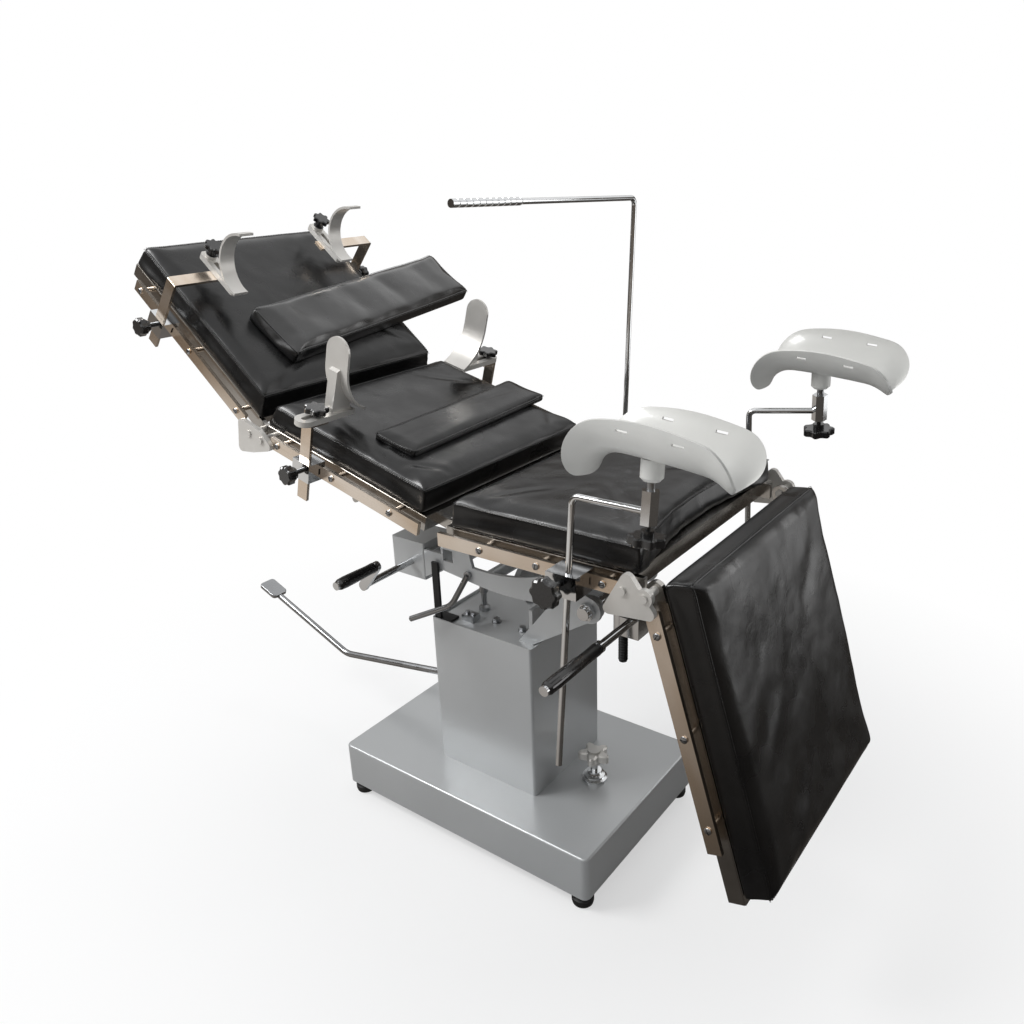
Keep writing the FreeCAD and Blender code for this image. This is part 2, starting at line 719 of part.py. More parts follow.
def cradle_side():
    # Outline of one side plate: window end, high step, hollow back and the pivot eye.
    y0 = CRADLE_Y
    y1 = CRADLE_Y + CRADLE_THICK
    x_low = PIVOT_X - 14
    edges = []
    path = [V(PIVOT_X + 12, y0, PIVOT_Z - CRADLE_EYE + 3), V(x_low - 60, y0, CRADLE_BELLY_Z + 6)]
    edges.append(Part.LineSegment(path[0], path[1]).toShape())
    belly_end = V(CRADLE_STEP_X1, y0, CRADLE_BELLY_Z)
    belly_mid = V((path[1].x + belly_end.x) / 2, y0, CRADLE_BELLY_Z - 6)
    edges.append(Part.Arc(path[1], belly_mid, belly_end).toShape())
    rest = [belly_end, V(CRADLE_STEP_X0, y0, CRADLE_BELLY_Z + 9),
            V(CRADLE_HEAD_X, y0, GEARBOX_BOTTOM + 8), V(CRADLE_HEAD_X, y0, GEARBOX_TOP - 12),
            V(CRADLE_STEP_X0, y0, GEARBOX_TOP - 12), V(CRADLE_STEP_X0, y0, CRADLE_HIGH_Z),
            V(CRADLE_STEP_X1, y0, CRADLE_HIGH_Z), V(CRADLE_STEP_X1 + 8, y0, CRADLE_LOW_Z)]
    for a, b in zip(rest[:-1], rest[1:]):
        edges.append(Part.LineSegment(a, b).toShape())
    back_end = V(x_low - 90, y0, CRADLE_LOW_Z + 24)
    back_mid = V((rest[-1].x + back_end.x) / 2, y0, CRADLE_LOW_Z + 3)
    edges.append(Part.Arc(rest[-1], back_mid, back_end).toShape())
    shoulder = V(x_low - 30, y0, CRADLE_LOW_Z + 24)
    brow = V(PIVOT_X + 12, y0, PIVOT_Z + CRADLE_EYE - 3)
    edges.append(Part.LineSegment(back_end, shoulder).toShape())
    edges.append(Part.LineSegment(shoulder, brow).toShape())
    edges.append(Part.LineSegment(brow, path[0]).toShape())
    web = Part.Face(Part.Wire(edges)).extrude(V(0, CRADLE_THICK, 0))
    eye = disc_y(PIVOT_X, PIVOT_Z, CRADLE_EYE, y0, y1)
    hole = disc_y(PIVOT_X, PIVOT_Z, PIVOT_RADIUS + RUNNING_GAP, y0 - 1, y1 + 1)
    window_x = CRADLE_STEP_X0 + 5
    window_z = GEARBOX_TOP - 12
    window = box(window_x, window_x + CRADLE_WINDOW, y0 - 1, y1 + 1,
                 window_z - CRADLE_WINDOW / 2, window_z + CRADLE_WINDOW / 2)
    lever_bore = disc_y(LEVER_X, LEVER_PIVOT_Z, LEVER_PIN_RADIUS + RUNNING_GAP, y0 - 1, y1 + 1)
    return fused(web, eye).cut(hole).cut(window).cut(lever_bore)


def bearing_plate(x, low):
    # One upright plate between the side plates, with the bearing eye of the side tilt on top.
    waist = ROLL_Z - ROLL_EYE
    outline = [(-CRADLE_Y, low), (CRADLE_Y, low), (CRADLE_Y, low + 16), (BEARING_FOOT / 2, waist),
               (ROLL_EYE, ROLL_Z), (-ROLL_EYE, ROLL_Z), (-BEARING_FOOT / 2, waist),
               (-CRADLE_Y, low + 16)]
    web = plate_yz(outline, x, x + BEARING_THICK)
    eye = disc_x(0, ROLL_Z, ROLL_EYE, x, x + BEARING_THICK)
    bore = disc_x(0, ROLL_Z, ROLL_RADIUS + RUNNING_GAP, x - 1, x + BEARING_THICK + 1)
    return fused(web, eye).cut(bore)


def cradle():
    side = cradle_side()
    pieces = [side, mirrored(side), bearing_plate(BEARING_X0, BEARING_LOW_HEAD),
              bearing_plate(BEARING_X1, BEARING_LOW_FOOT)]
    for x, z in ((CRADLE_STEP_X1 - 30, CRADLE_HIGH_Z - 24), (CRADLE_STEP_X1 + 40, 589)):
        pieces.append(disc_y(x, z, CROSS_TUBE_RADIUS, -CRADLE_Y, CRADLE_Y))
    end_bar = box(CRADLE_HEAD_X, CRADLE_HEAD_X + 10, -CRADLE_Y, CRADLE_Y,
                  GEARBOX_BOTTOM + 14, GEARBOX_TOP - 18)
    pieces.append(end_bar)
    return fused(*pieces)


def gearbox():
    x1 = CRADLE_HEAD_X
    x0 = x1 - GEARBOX_LENGTH
    y0 = GEARBOX_FRONT_Y
    body = box(x0, x1, y0, y0 + GEARBOX_WIDTH, GEARBOX_BOTTOM, GEARBOX_TOP)
    body = body.makeFillet(GEARBOX_EDGE, upright_edges(body))
    bore = disc_y(TILT_CRANK_X, TILT_CRANK_Z, CRANK_SHAFT_RADIUS + RUNNING_GAP, y0 - 1, y0 + 56)
    return body.cut(bore)


def crank(x, z, inner_y, end_y, dx, dz, grip_length):
    # Shaft along Y, a flat arm at its outer end and the pin of the grip.
    outer_y = end_y - CRANK_ARM_THICK
    shaft = disc_y(x, z, CRANK_SHAFT_RADIUS, end_y, inner_y)
    length = math.hypot(dx, dz)
    arm = box(0, length, -CRANK_ARM_THICK, 0, -CRANK_ARM_WIDTH / 2, CRANK_ARM_WIDTH / 2)
    arm = arm.rotated(V(0, 0, 0), V(0, 1, 0), -math.degrees(math.atan2(dz, dx)))
    arm = arm.translated(V(x, end_y, z))
    ends = [disc_y(x, z, CRANK_ARM_WIDTH / 2, outer_y, end_y),
            disc_y(x + dx, z + dz, CRANK_ARM_WIDTH / 2, outer_y, end_y)]
    pin_end = outer_y - grip_length - GRIP_END_GAP
    pin = disc_y(x + dx, z + dz, CRANK_PIN_RADIUS, pin_end - 5, outer_y)
    cap = disc_y(x + dx, z + dz, CRANK_PIN_RADIUS + 3, pin_end - 5, pin_end)
    return fused(shaft, arm, ends[0], ends[1], pin, cap)


def crank_grip(x, z, face_y, grip_length):
    # A barrel-shaped handle turned about the pin at (x, z), its inner end beside face_y.
    r = GRIP_RADIUS
    bore = CRANK_PIN_RADIUS + RUNNING_GAP
    n = grip_length
    profile = [(bore, 0), (r * 0.8, 0), (r * 0.95, 4), (r * 0.9, n * 0.2), (r, n * 0.55),
               (r * 1.04, n * 0.8), (r * 0.98, n - 5), (r * 0.8, n), (bore, n)]
    return along_y(revolved(profile), x, face_y - GRIP_END_GAP / 2, z, -1)


def tilt_crank_grip():
    return crank_grip(TILT_CRANK_X + TILT_CRANK_DX, TILT_CRANK_Z + TILT_CRANK_DZ,
                      TILT_CRANK_END_Y - CRANK_ARM_THICK, TILT_GRIP_LENGTH)


def leg_crank_grip():
    return crank_grip(LEG_CRANK_X, LEG_CRANK_Z, LEG_CRANK_END_Y, LEG_GRIP_LENGTH)


def tilt_crank():
    return crank(TILT_CRANK_X, TILT_CRANK_Z, GEARBOX_FRONT_Y + 50, TILT_CRANK_END_Y,
                 TILT_CRANK_DX, TILT_CRANK_DZ, TILT_GRIP_LENGTH)


def leg_crank():
    # The handle of this drive is folded out in line with its shaft.
    x = LEG_CRANK_X
    z = LEG_CRANK_Z
    end = LEG_CRANK_END_Y
    pin_end = end - LEG_GRIP_LENGTH - GRIP_END_GAP
    return fused(disc_y(x, z, CRANK_SHAFT_RADIUS, end, SCREW_Y - 4),
                 disc_y(x, z, CRANK_ARM_WIDTH / 2, end, end + CRANK_ARM_THICK),
                 disc_y(x, z, CRANK_PIN_RADIUS, pin_end - 5, end),
                 disc_y(x, z, CRANK_PIN_RADIUS + 3, pin_end - 5, pin_end))


def side_tilt_lever():
    # A bent round handle hangs outside the cradle from a flat eye on its pin.
    y_in = -CRADLE_Y - CRADLE_THICK - CLEVIS_GAP
    y_out = y_in - LEVER_BAR_THICK
    eye = disc_y(LEVER_X, LEVER_PIVOT_Z, LEVER_BAR_WIDTH / 2, y_out, y_in)
    pin = disc_y(LEVER_X, LEVER_PIVOT_Z, LEVER_PIN_RADIUS, -CRADLE_Y + 4, y_in)
    top = V(LEVER_X, (y_in + y_out) / 2 - 2, LEVER_PIVOT_Z - 2)
    knee = V(LEVER_KNEE_X, LEVER_KNEE_Y, LEVER_KNEE_Z)
    tip = V(LEVER_TIP_X, LEVER_TIP_Y, LEVER_TIP_Z)
    handle = bent_rod([top, knee, tip], 40, LEVER_ROD_RADIUS)
    return fused(eye, pin, handle)


# Pieces that every section has

def side_bars(u0, u1, eye):
    # Two edge bars, with a round hinge eye on the axis where the section has one.
    low = -BAR_DEPTH / 2
    y0 = HALF_WIDTH - BAR_THICK
    bar = box(u0, u1, y0, HALF_WIDTH, low, low + BAR_DEPTH)
    if not eye:
        return [bar, mirrored(bar)]
    knuckle = disc_y(0, 0, HINGE_EYE, y0, HALF_WIDTH)
    bore = disc_y(0, 0, HINGE_RADIUS + RUNNING_GAP, y0 - 1, HALF_WIDTH + 1)
    bar = fused(bar, knuckle).cut(bore)
    return [bar, mirrored(bar)]


def frame(u0, u1, cross_at, eye):
    low = -BAR_DEPTH / 2
    inner = HALF_WIDTH - BAR_THICK
    pieces = side_bars(u0, u1, eye)
    for u in cross_at:
        pieces.append(box(u, u + CROSS_BAR, -inner, inner, low, low + BAR_DEPTH))
    pieces.append(box(min(cross_at), max(cross_at) + CROSS_BAR, -HALF_WIDTH + 1, HALF_WIDTH - 1,
                      low + BAR_DEPTH, low + BAR_DEPTH + PANEL_THICK))
    return fused(*pieces)


def pad(u0, u1, bevel_low, bevel_high):
    # A cushion block whose two ends may lean back by a bevel angle.
    lean_low = PAD_THICK * math.tan(math.radians(bevel_low))
    lean_high = PAD_THICK * math.tan(math.radians(bevel_high))
    outline = [(u0, PAD_LOW), (u1, PAD_LOW), (u1 - lean_high, PAD_HIGH), (u0 + lean_low, PAD_HIGH)]
    block = plate_xz(outline, -HALF_WIDTH, HALF_WIDTH)
    return block.makeFillet(PAD_EDGE, level_edges(block, PAD_HIGH))


def rail_pair(u0, u1, screws):
    # A flat bar on spacers along each side, with its round screw heads.
    half = RAIL_HEIGHT / 2
    pieces = [box(u0, u1, RAIL_INNER, RAIL_OUTER, -half, half)]
    for u in screws:
        pieces.append(disc_y(u, 0, SPACER_RADIUS, HALF_WIDTH, RAIL_INNER))
        pieces.append(disc_y(u, 0, RAIL_SCREW_RADIUS, RAIL_OUTER, RAIL_OUTER + RAIL_SCREW_HEIGHT))
    rail = fused(*pieces)
    return both_sides(rail)


def hinge_casting(lobes, spacer_x, spacer_z):
    # A lobed plate outside the rail ends with its hinge pin, drawn about the pin's axis.
    # Each lobe is a boss (x, z, radius); webs join every boss to the next one and to the pin.
    y0 = RAIL_OUTER + CASTING_GAP
    y1 = y0 + CASTING_THICK
    pieces = [disc_y(0, 0, HINGE_EYE, y0, y1)]
    for (xa, za, ra), (xb, zb, rb) in zip(lobes, lobes[1:] + lobes[:1]):
        pieces.append(disc_y(xa, za, ra, y0, y1))
        pieces.append(web_plate((xa, za, ra), (xb, zb, rb), y0, y1))
        pieces.append(plate_xz([(xa, za), (xb, zb), (0, 0)], y0, y1))
    pieces.append(disc_y(spacer_x, spacer_z, HINGE_RADIUS, HALF_WIDTH, y1 + 4))
    pieces.append(disc_y(0, 0, HINGE_RADIUS, HALF_WIDTH - BAR_THICK - 4, y1 + 3))
    return fused(*pieces)


def web_plate(first, second, y0, y1):
    # The straight web between two bosses, as wide as each boss at its own end.
    xa, za, ra = first
    xb, zb, rb = second
    length = math.hypot(xb - xa, zb - za)
    nx = -(zb - za) / length
    nz = (xb - xa) / length
    return plate_xz([(xa + nx * ra, za + nz * ra), (xb + nx * rb, zb + nz * rb),
                     (xb - nx * rb, zb - nz * rb), (xa - nx * ra, za - nz * ra)], y0, y1)


# Rail clamps

def clamp_body(u, length, front):
    # A block hooked over and under the rail, grooved to pass the rail's screw heads.
    half = CLAMP_HEIGHT / 2
    y_back = RAIL_INNER - CLAMP_LIP
    block = box(u - length / 2, u + length / 2, y_back, RAIL_OUTER + front, -half, half)
    mouth = box(u - length, u + length, RAIL_INNER, RAIL_OUTER, -RAIL_HEIGHT / 2, RAIL_HEIGHT / 2)
    throat = box(u - length, u + length, y_back - 1, RAIL_INNER + 1, -half - 1, RAIL_HEIGHT / 2 - 6)
    groove_half = RAIL_SCREW_RADIUS + STRIP_GAP
    groove = box(u - length, u + length, RAIL_OUTER - 1, RAIL_OUTER + RAIL_SCREW_HEIGHT + STRIP_GAP,
                 -groove_half, groove_half)
    return block.cut(mouth).cut(throat).cut(groove)


def strip_clamp(u):
    body = clamp_body(u, CLAMP_LENGTH, CLAMP_FRONT)
    half = STRIP_WIDTH / 2 + STRIP_GAP
    slot = box(u - half, u + half, STRIP_Y - STRIP_GAP, STRIP_Y + STRIP_THICK + STRIP_GAP,
               -CLAMP_HEIGHT, CLAMP_HEIGHT)
    bore = disc_y(u, 0, KNOB_STEM_RADIUS, STRIP_Y + STRIP_THICK, CLAMP_OUTER + 1)
    return body.cut(slot).cut(bore)


def holder_clamp(u, knob_u):
    body = clamp_body((u + knob_u) / 2, HOLDER_CLAMP_LENGTH, HOLDER_CLAMP_FRONT)
    hole = rod(V(u, HOLDER_ROD_Y, -60), V(u, HOLDER_ROD_Y, 60), HOLDER_ROD_RADIUS + RUNNING_GAP)
    hole = hole.rotated(V(u, HOLDER_ROD_Y, 0), V(1, 0, 0), HOLDER_LEAN)
    stem = disc_y(knob_u, 0, KNOB_STEM_RADIUS, RAIL_OUTER + 2, RAIL_OUTER + HOLDER_CLAMP_FRONT + 1)
    return body.cut(hole).cut(stem)


def screen_clamp(u):
    body = clamp_body(u, CLAMP_LENGTH, CLAMP_FRONT)
    y = CLAMP_OUTER - STRIP_DEPTH
    hole = rod(V(u, y, -60), V(u, y, 60), SCREEN_ROD_RADIUS + RUNNING_GAP)
    hole = hole.rotated(V(u, y, 0), V(0, 1, 0), SCREEN_LEAN)
    stem = disc_y(u - 14, 0, KNOB_STEM_RADIUS, RAIL_OUTER + 2, CLAMP_OUTER + 1)
    return body.cut(hole).cut(stem)


def clamp_knob(u, y_face, depth, radius):
    # A fluted round knob on its screw, outside the clamp's face.
    head = lobed_disc(radius, KNOB_FLUTES, radius * 0.12, KNOB_THICK)
    head = head.translated(V(0, 0, KNOB_STEM))
    cup = rod(V(0, 0, KNOB_STEM - 7), V(0, 0, KNOB_STEM), radius * 0.62)
    stem = rod(V(0, 0, -depth), V(0, 0, KNOB_STEM + 2), KNOB_STEM_RADIUS)
    return along_y(fused(head, cup, stem), u, y_face, 0, 1)


def strip_knob(u):
    return clamp_knob(u, CLAMP_OUTER, STRIP_DEPTH - STRIP_THICK, KNOB_RADIUS)


def side_knob(shape_for, near_u, far_u):
    # The same piece on the near rail and on the far rail.
    return group(mirrored(shape_for(near_u)), shape_for(far_u))


# Seat section

def seat_frame():
    crosses = [SEAT_X0, BEARING_X0 + BEARING_THICK + HANGER_GAP,
               BEARING_X1 - HANGER_GAP - HANGER_THICK, SEAT_X1 - CROSS_BAR]
    whole = [frame(SEAT_X0, SEAT_BAR_END, crosses, False)]
    for x in crosses[1:3]:
        whole.append(hanger(x))
    whole.append(roll_shaft())
    lug = fused(box(BACK_HINGE_X, SEAT_X0 + 4, LUG_Y, LUG_Y + LUG_THICK, -10, 10),
                disc_y(BACK_HINGE_X, 0, HINGE_EYE - 2, LUG_Y, LUG_Y + LUG_THICK))
    pin = disc_y(BACK_HINGE_X, 0, HINGE_RADIUS, LUG_Y, LUG_Y + 2 * LUG_THICK + LUG_GAP + 2)
    lug = fused(lug, pin)
    whole += [lug, mirrored(lug)]
    return on_seat(fused(*whole))


def hanger(x):
    top = -BAR_DEPTH / 2
    roll = ROLL_Z - HINGE_Z
    half = HANGER_TOP_WIDTH / 2
    web = plate_yz([(-half, top), (half, top), (ROLL_EYE - 2, roll), (-ROLL_EYE + 2, roll)],
                   x, x + HANGER_THICK)
    eye = disc_x(0, roll, ROLL_EYE - 2, x, x + HANGER_THICK)
    return fused(web, eye)


def roll_shaft():
    # The shaft of the side tilt, welded into both hangers.
    return disc_x(0, ROLL_Z - HINGE_Z, ROLL_RADIUS, BEARING_X0 - 6,
                  BEARING_X1 + BEARING_THICK + 6)


def seat_pad():
    # The foot edge is hollowed by a shallow arc.
    block = pad(SEAT_PAD_X0, SEAT_PAD_X1, 0, 0)
    chord = HALF_WIDTH - 30
    radius = (chord ** 2 + SEAT_CUT_DEPTH ** 2) / (2 * SEAT_CUT_DEPTH)
    centre = SEAT_PAD_X1 - SEAT_CUT_DEPTH + radius
    cut = rod(V(centre, 0, PAD_LOW - 1), V(centre, 0, PAD_HIGH + 1), radius)
    return on_seat(block.cut(cut))


def seat_rails():
    return on_seat(rail_pair(SEAT_X0, SEAT_RAIL_END, (153, 270, 394)))


def leg_hinge_castings():
    lobes = [(-29, 23, 10), (-48, -8, 8), (-60, -32, 9), (8, -24, 10)]
    casting = hinge_casting(lobes, -36, 4).translated(V(LEG_HINGE_X, 0, 0))
    return on_seat(both_sides(casting))


def leg_gearbox():
    # Bevel box on a bracket under the foot cross bar, with the nut of the lifting screw.
    half = BLOCK_SIZE / 2
    top = BLOCK_BOTTOM + BLOCK_SIZE
    block = box(LEG_CRANK_X - half, LEG_CRANK_X + half, SCREW_Y - half, SCREW_Y + half,
                BLOCK_BOTTOM, top)
    nut = rod(V(SCREW_X, SCREW_Y, BLOCK_BOTTOM), V(SCREW_X, SCREW_Y, top), NUT_BOSS)
    bracket = box(SEAT_X1 - CROSS_BAR - 4, SEAT_X1 - CROSS_BAR, SCREW_Y - 13, SCREW_Y + 13,
                  top - 20, SEAT_Z - 6)
    screw_hole = rod(V(SCREW_X, SCREW_Y, BLOCK_BOTTOM - 1), V(SCREW_X, SCREW_Y, top + 1),
                     SCREW_RADIUS + RUNNING_GAP)
    shaft_hole = disc_y(LEG_CRANK_X, LEG_CRANK_Z, CRANK_SHAFT_RADIUS + RUNNING_GAP,
                        SCREW_Y - half - 1, SCREW_Y)
    return fused(block, nut, bracket).cut(screw_hole).cut(shaft_hole)


def leg_screw():
    # Rounded ridges stand in for the thread below the nut.
    r = SCREW_RADIUS
    points = [(0, SCREW_BOTTOM), (r - SCREW_DEPTH, SCREW_BOTTOM)]
    z = SCREW_BOTTOM + 2
    while z + SCREW_PITCH < BLOCK_BOTTOM:
        points.append((r - SCREW_DEPTH, z))
        points.append((r, z + SCREW_PITCH * 0.3))
        points.append((r, z + SCREW_PITCH * 0.6))
        z += SCREW_PITCH
    points += [(r, z), (r, SCREW_TOP), (0, SCREW_TOP)]
    return revolved(points).translated(V(SCREW_X, SCREW_Y, 0))


def seat_clamps():
    near = mirrored(holder_clamp(HOLDER_X, HOLDER_X - 2 * HOLDER_CLAMP_OFFSET))
    far_x = HOLDER_X + HOLDER_FAR_SHIFT
    far = holder_clamp(far_x, far_x - 2 * HOLDER_CLAMP_OFFSET)
    return on_seat(group(near, far, screen_clamp(SCREEN_X)))


def seat_knobs():
    face = RAIL_OUTER + HOLDER_CLAMP_FRONT
    depth = HOLDER_CLAMP_FRONT - 2
    near = mirrored(clamp_knob(HOLDER_X - 2 * HOLDER_CLAMP_OFFSET, face, depth, HOLDER_KNOB_RADIUS))
    far_x = HOLDER_X + HOLDER_FAR_SHIFT - 2 * HOLDER_CLAMP_OFFSET
    far = clamp_knob(far_x, face, depth, HOLDER_KNOB_RADIUS)
    screen = clamp_knob(SCREEN_X - 14, CLAMP_OUTER, CLAMP_FRONT - 2, KNOB_RADIUS)
    return on_seat(group(near, far, screen))


# Back section

def back_frame():
    u0 = -BACK_LENGTH + BACK_FRAME_START / 2
    u1 = -BACK_FRAME_START
    crosses = [u0, BRIDGE_U - 60, BRIDGE_U + 52, u1 - CROSS_BAR]
    whole = frame(u0, u1, crosses, False)
    y0 = LUG_Y + LUG_THICK + LUG_GAP
    lug = fused(box(u1 - 4, 0, y0, y0 + LUG_THICK, -10, 10),
                disc_y(0, 0, HINGE_EYE - 2, y0, y0 + LUG_THICK))
    lug = lug.cut(disc_y(0, 0, HINGE_RADIUS + RUNNING_GAP, y0 - 1, y0 + LUG_THICK + 1))
    holes = [rod(V(BRIDGE_U, y, 0), V(BRIDGE_U, y, PAD_LOW), BRIDGE_ROD_HOLE)
             for y in (-BRIDGE_ROD_Y, BRIDGE_ROD_Y)]
    bracket = box(BRIDGE_U - 34, BRIDGE_U + 30, HALF_WIDTH - 26, HALF_WIDTH - BAR_THICK,
                  -BAR_DEPTH / 2 - 16, 0)
    stub = disc_y(BRIDGE_U - 26, -BAR_DEPTH / 2 - 22, 7, HALF_WIDTH - 26, HALF_WIDTH - 4)
    whole = fused(whole, lug, mirrored(lug), mirrored(bracket), mirrored(stub))
    return on_back(whole.cut(holes[0]).cut(holes[1]))


def back_pad():
    block = pad(-BACK_LENGTH + PAD_END, -BACK_PAD_START, PAD_BEVEL, 0)
    for y in (-BRIDGE_ROD_Y, BRIDGE_ROD_Y):
        block = block.cut(rod(V(BRIDGE_U, y, PAD_LOW - 1), V(BRIDGE_U, y, PAD_HIGH + 1),
                              BRIDGE_ROD_HOLE))
    return on_back(block)


def back_rails():
    return on_back(rail_pair(-425, -28, (-405, -250, -98)))


def head_hinge_castings():
    lobes = [(-24, 12, 10), (-20, -38, 10), (14, -28, 8), (54, -6, 10), (26, 10, 9)]
    casting = hinge_casting(lobes, 36, 0).translated(V(-BACK_LENGTH, 0, 0))
    return on_back(both_sides(casting))


def back_clamps():
    return on_back(side_knob(strip_clamp, SIDE_U, SIDE_U + SIDE_FAR_SHIFT))


def back_knobs():
    return on_back(side_knob(strip_knob, SIDE_U, SIDE_U + SIDE_FAR_SHIFT))


def turned_flat(shape, degrees):
    return shape.rotated(V(0, 0, 0), V(0, 0, 1), degrees)


def kidney_pad():
    low = PAD_HIGH + PAD_GAP
    block = box(-BRIDGE_WIDTH / 2, BRIDGE_WIDTH / 2, -BRIDGE_LENGTH / 2, BRIDGE_LENGTH / 2,
                low, low + BRIDGE_THICK)
    block = block.makeFillet(PAD_EDGE * 0.6, level_edges(block, low + BRIDGE_THICK))
    block = turned_flat(block, BRIDGE_SKEW).translated(V(BRIDGE_U, BRIDGE_MID_Y, 0))
    return on_back(block.cut(kidney_plate()))


def kidney_plate():
    low = PAD_HIGH + PAD_GAP
    return box(BRIDGE_U - BRIDGE_PLATE_WIDTH / 2, BRIDGE_U + BRIDGE_PLATE_WIDTH / 2,
               -BRIDGE_PLATE_LENGTH / 2, BRIDGE_PLATE_LENGTH / 2, low, low + BRIDGE_PLATE)


def kidney_lift():
    low = BRIDGE_BAR_W
    pieces = [kidney_plate()]
    pieces.append(box(BRIDGE_U - BRIDGE_BAR_WIDTH / 2, BRIDGE_U + BRIDGE_BAR_WIDTH / 2,
                      -BRIDGE_ROD_Y - 14, BRIDGE_ROD_Y + 14, low, low + BRIDGE_BAR_THICK))
    for y in (-BRIDGE_ROD_Y, BRIDGE_ROD_Y):
        pieces.append(rod(V(BRIDGE_U, y, low), V(BRIDGE_U, y, PAD_HIGH + 1), BRIDGE_ROD_RADIUS))
    return on_back(fused(*pieces))


# Head section

def head_frame():
    u0 = -HEAD_LENGTH
    u1 = -PAD_END
    return on_head(frame(u0, 0, [u0, u0 + 150, u0 + 300, u1 - CROSS_BAR - 8], True))


def head_pad():
    return on_head(pad(-HEAD_LENGTH + 4, -PAD_END, 0, PAD_BEVEL))


def head_rails():
    return on_head(rail_pair(-432, -34, (-412, -230, -60)))


def arm_board_pad():
    low = PAD_HIGH + PAD_GAP
    block = box(-ARM_PAD_WIDTH / 2, ARM_PAD_WIDTH / 2, -ARM_PAD_LENGTH / 2, ARM_PAD_LENGTH / 2,
                low, low + ARM_PAD_THICK)
    block = block.makeFillet(PAD_EDGE, level_edges(block, low + ARM_PAD_THICK))
    return on_head(turned_flat(block, ARM_PAD_SKEW).translated(V(ARM_PAD_U, ARM_PAD_Y, 0)))


def head_clamps():
    return on_head(side_knob(strip_clamp, SHOULDER_U, SHOULDER_U + SHOULDER_FAR_SHIFT))


def head_knobs():
    return on_head(side_knob(strip_knob, SHOULDER_U, SHOULDER_U + SHOULDER_FAR_SHIFT))


# Leg section

def leg_frame():
    crosses = [HINGE_EYE + 8, 170, 350, LEG_LENGTH - CROSS_BAR]
    return on_leg(frame(0, LEG_LENGTH, crosses, True))


def leg_pad():
    return on_leg(pad(LEG_PAD_START, LEG_LENGTH - 14, 0, 0))


def leg_rails():
    return on_leg(rail_pair(26, 434, (64, 234, 391)))


# Shoulder supports

def shoulder_bar(u, end_y):
    # A flat strip up through the clamp, bent inwards over the pad.
    half = STRIP_WIDTH / 2
    upright = box(u - half, u + half, STRIP_Y, STRIP_Y + STRIP_THICK, SHOULDER_LOW, SHOULDER_TOP)
    reach = box(u - half, u + half, end_y - 22, STRIP_Y + STRIP_THICK,
                SHOULDER_TOP - STRIP_THICK, SHOULDER_TOP)
    bar = fused(upright, reach)
    corner = [e for e in bar.Edges if edge_at(e, STRIP_Y + STRIP_THICK, SHOULDER_TOP)]
    return bar.makeFillet(STRIP_THICK - 1, corner)


def edge_at(edge, y, z):
    return all(abs(v.Y - y) < 0.001 and abs(v.Z - z) < 0.001 for v in edge.Vertexes)


def shoulder_blade(u, y):
    # A crescent of bent strip standing on a slotted slider, with a star knob on its boss.
    low = SHOULDER_TOP + STRIP_GAP
    top = low + SLIDER_THICK
    half = SLIDER_WIDTH / 2
    outline = crescent(u + BLADE_CENTRE_U, top + BLADE_RADIUS - 2, y + BLADE_OUT - BLADE_WIDTH / 2)
    blade = outline.extrude(V(0, BLADE_WIDTH, 0))
    slider = box(u - SLIDER_HEAD, u + SLIDER_FOOT, y - half, y + half, low, top)
    slider = slider.makeFillet(8, upright_edges(slider))
    slot = box(u - SLIDER_SLOT / 2, u + SLIDER_SLOT / 2, y - 5, y + 5, low - 1, top + 1)
    boss_u = u - SLIDER_HEAD + 18
    boss = rod(V(boss_u, y, low), V(boss_u, y, top + 9), 12)
    knob = support_star(boss_u, y, top + 9, 0, SUPPORT_KNOB_RADIUS, SUPPORT_KNOB_STEM)
    return group(fused(blade, slider.cut(slot), boss), knob)


def crescent(cu, cw, y):
    inner = BLADE_RADIUS - BLADE_THICK
    angles = [-BLADE_DOWN, 0, BLADE_UP]
    outer_points = [arc_point(cu, cw, y, BLADE_RADIUS, a) for a in angles]
    inner_points = [arc_point(cu, cw, y, inner, a) for a in angles]
    edges = [Part.Arc(*outer_points).toShape(),
             Part.LineSegment(outer_points[2], inner_points[2]).toShape(),
             Part.Arc(*reversed(inner_points)).toShape(),
             Part.LineSegment(inner_points[0], outer_points[0]).toShape()]
    return Part.Face(Part.Wire(edges))


def arc_point(cu, cw, y, radius, degrees):
    angle = math.radians(degrees)
    return V(cu - radius * math.cos(angle), y, cw + radius * math.sin(angle))


def support_star(x, y, z, depth, radius, stem):
    # A small star knob standing on a face at the height z, its screw going down by depth.
    star = lobed_disc(radius, SUPPORT_KNOB_LOBES, radius * 0.24, SUPPORT_KNOB_THICK)
    star = star.translated(V(0, 0, stem))
    hub = rod(V(0, 0, 0), V(0, 0, stem + 2), SUPPORT_KNOB_HUB)
    if depth > 0:
        hub = hub.fuse(rod(V(0, 0, -depth), V(0, 0, 1), SUPPORT_SCREW_RADIUS))
    return fused(star, hub).translated(V(x, y, z))


# Side supports

def side_post(u):
    # A flat strip with a lip bent inwards, and the star knob that holds the slotted arm on it.
    half = STRIP_WIDTH / 2
    outer = STRIP_Y + STRIP_THICK
    upright = box(u - half, u + half, STRIP_Y, outer, SIDE_LOW, SIDE_TOP)
    lip = box(u - half, u + half, outer - SIDE_LIP, outer, SIDE_TOP - STRIP_THICK, SIDE_TOP)
    post = fused(upright, lip)
    corner = [e for e in post.Edges if edge_at(e, outer, SIDE_TOP)]
    post = post.makeFillet(STRIP_THICK - 1, corner)
    face = SIDE_TOP + SIDE_ARM_THICK + 2 * STRIP_GAP
    knob = support_star(u, outer - SIDE_KNOB_IN, face, face - SIDE_TOP, SIDE_KNOB_RADIUS,
                        SIDE_KNOB_STEM)
    return group(post, knob)


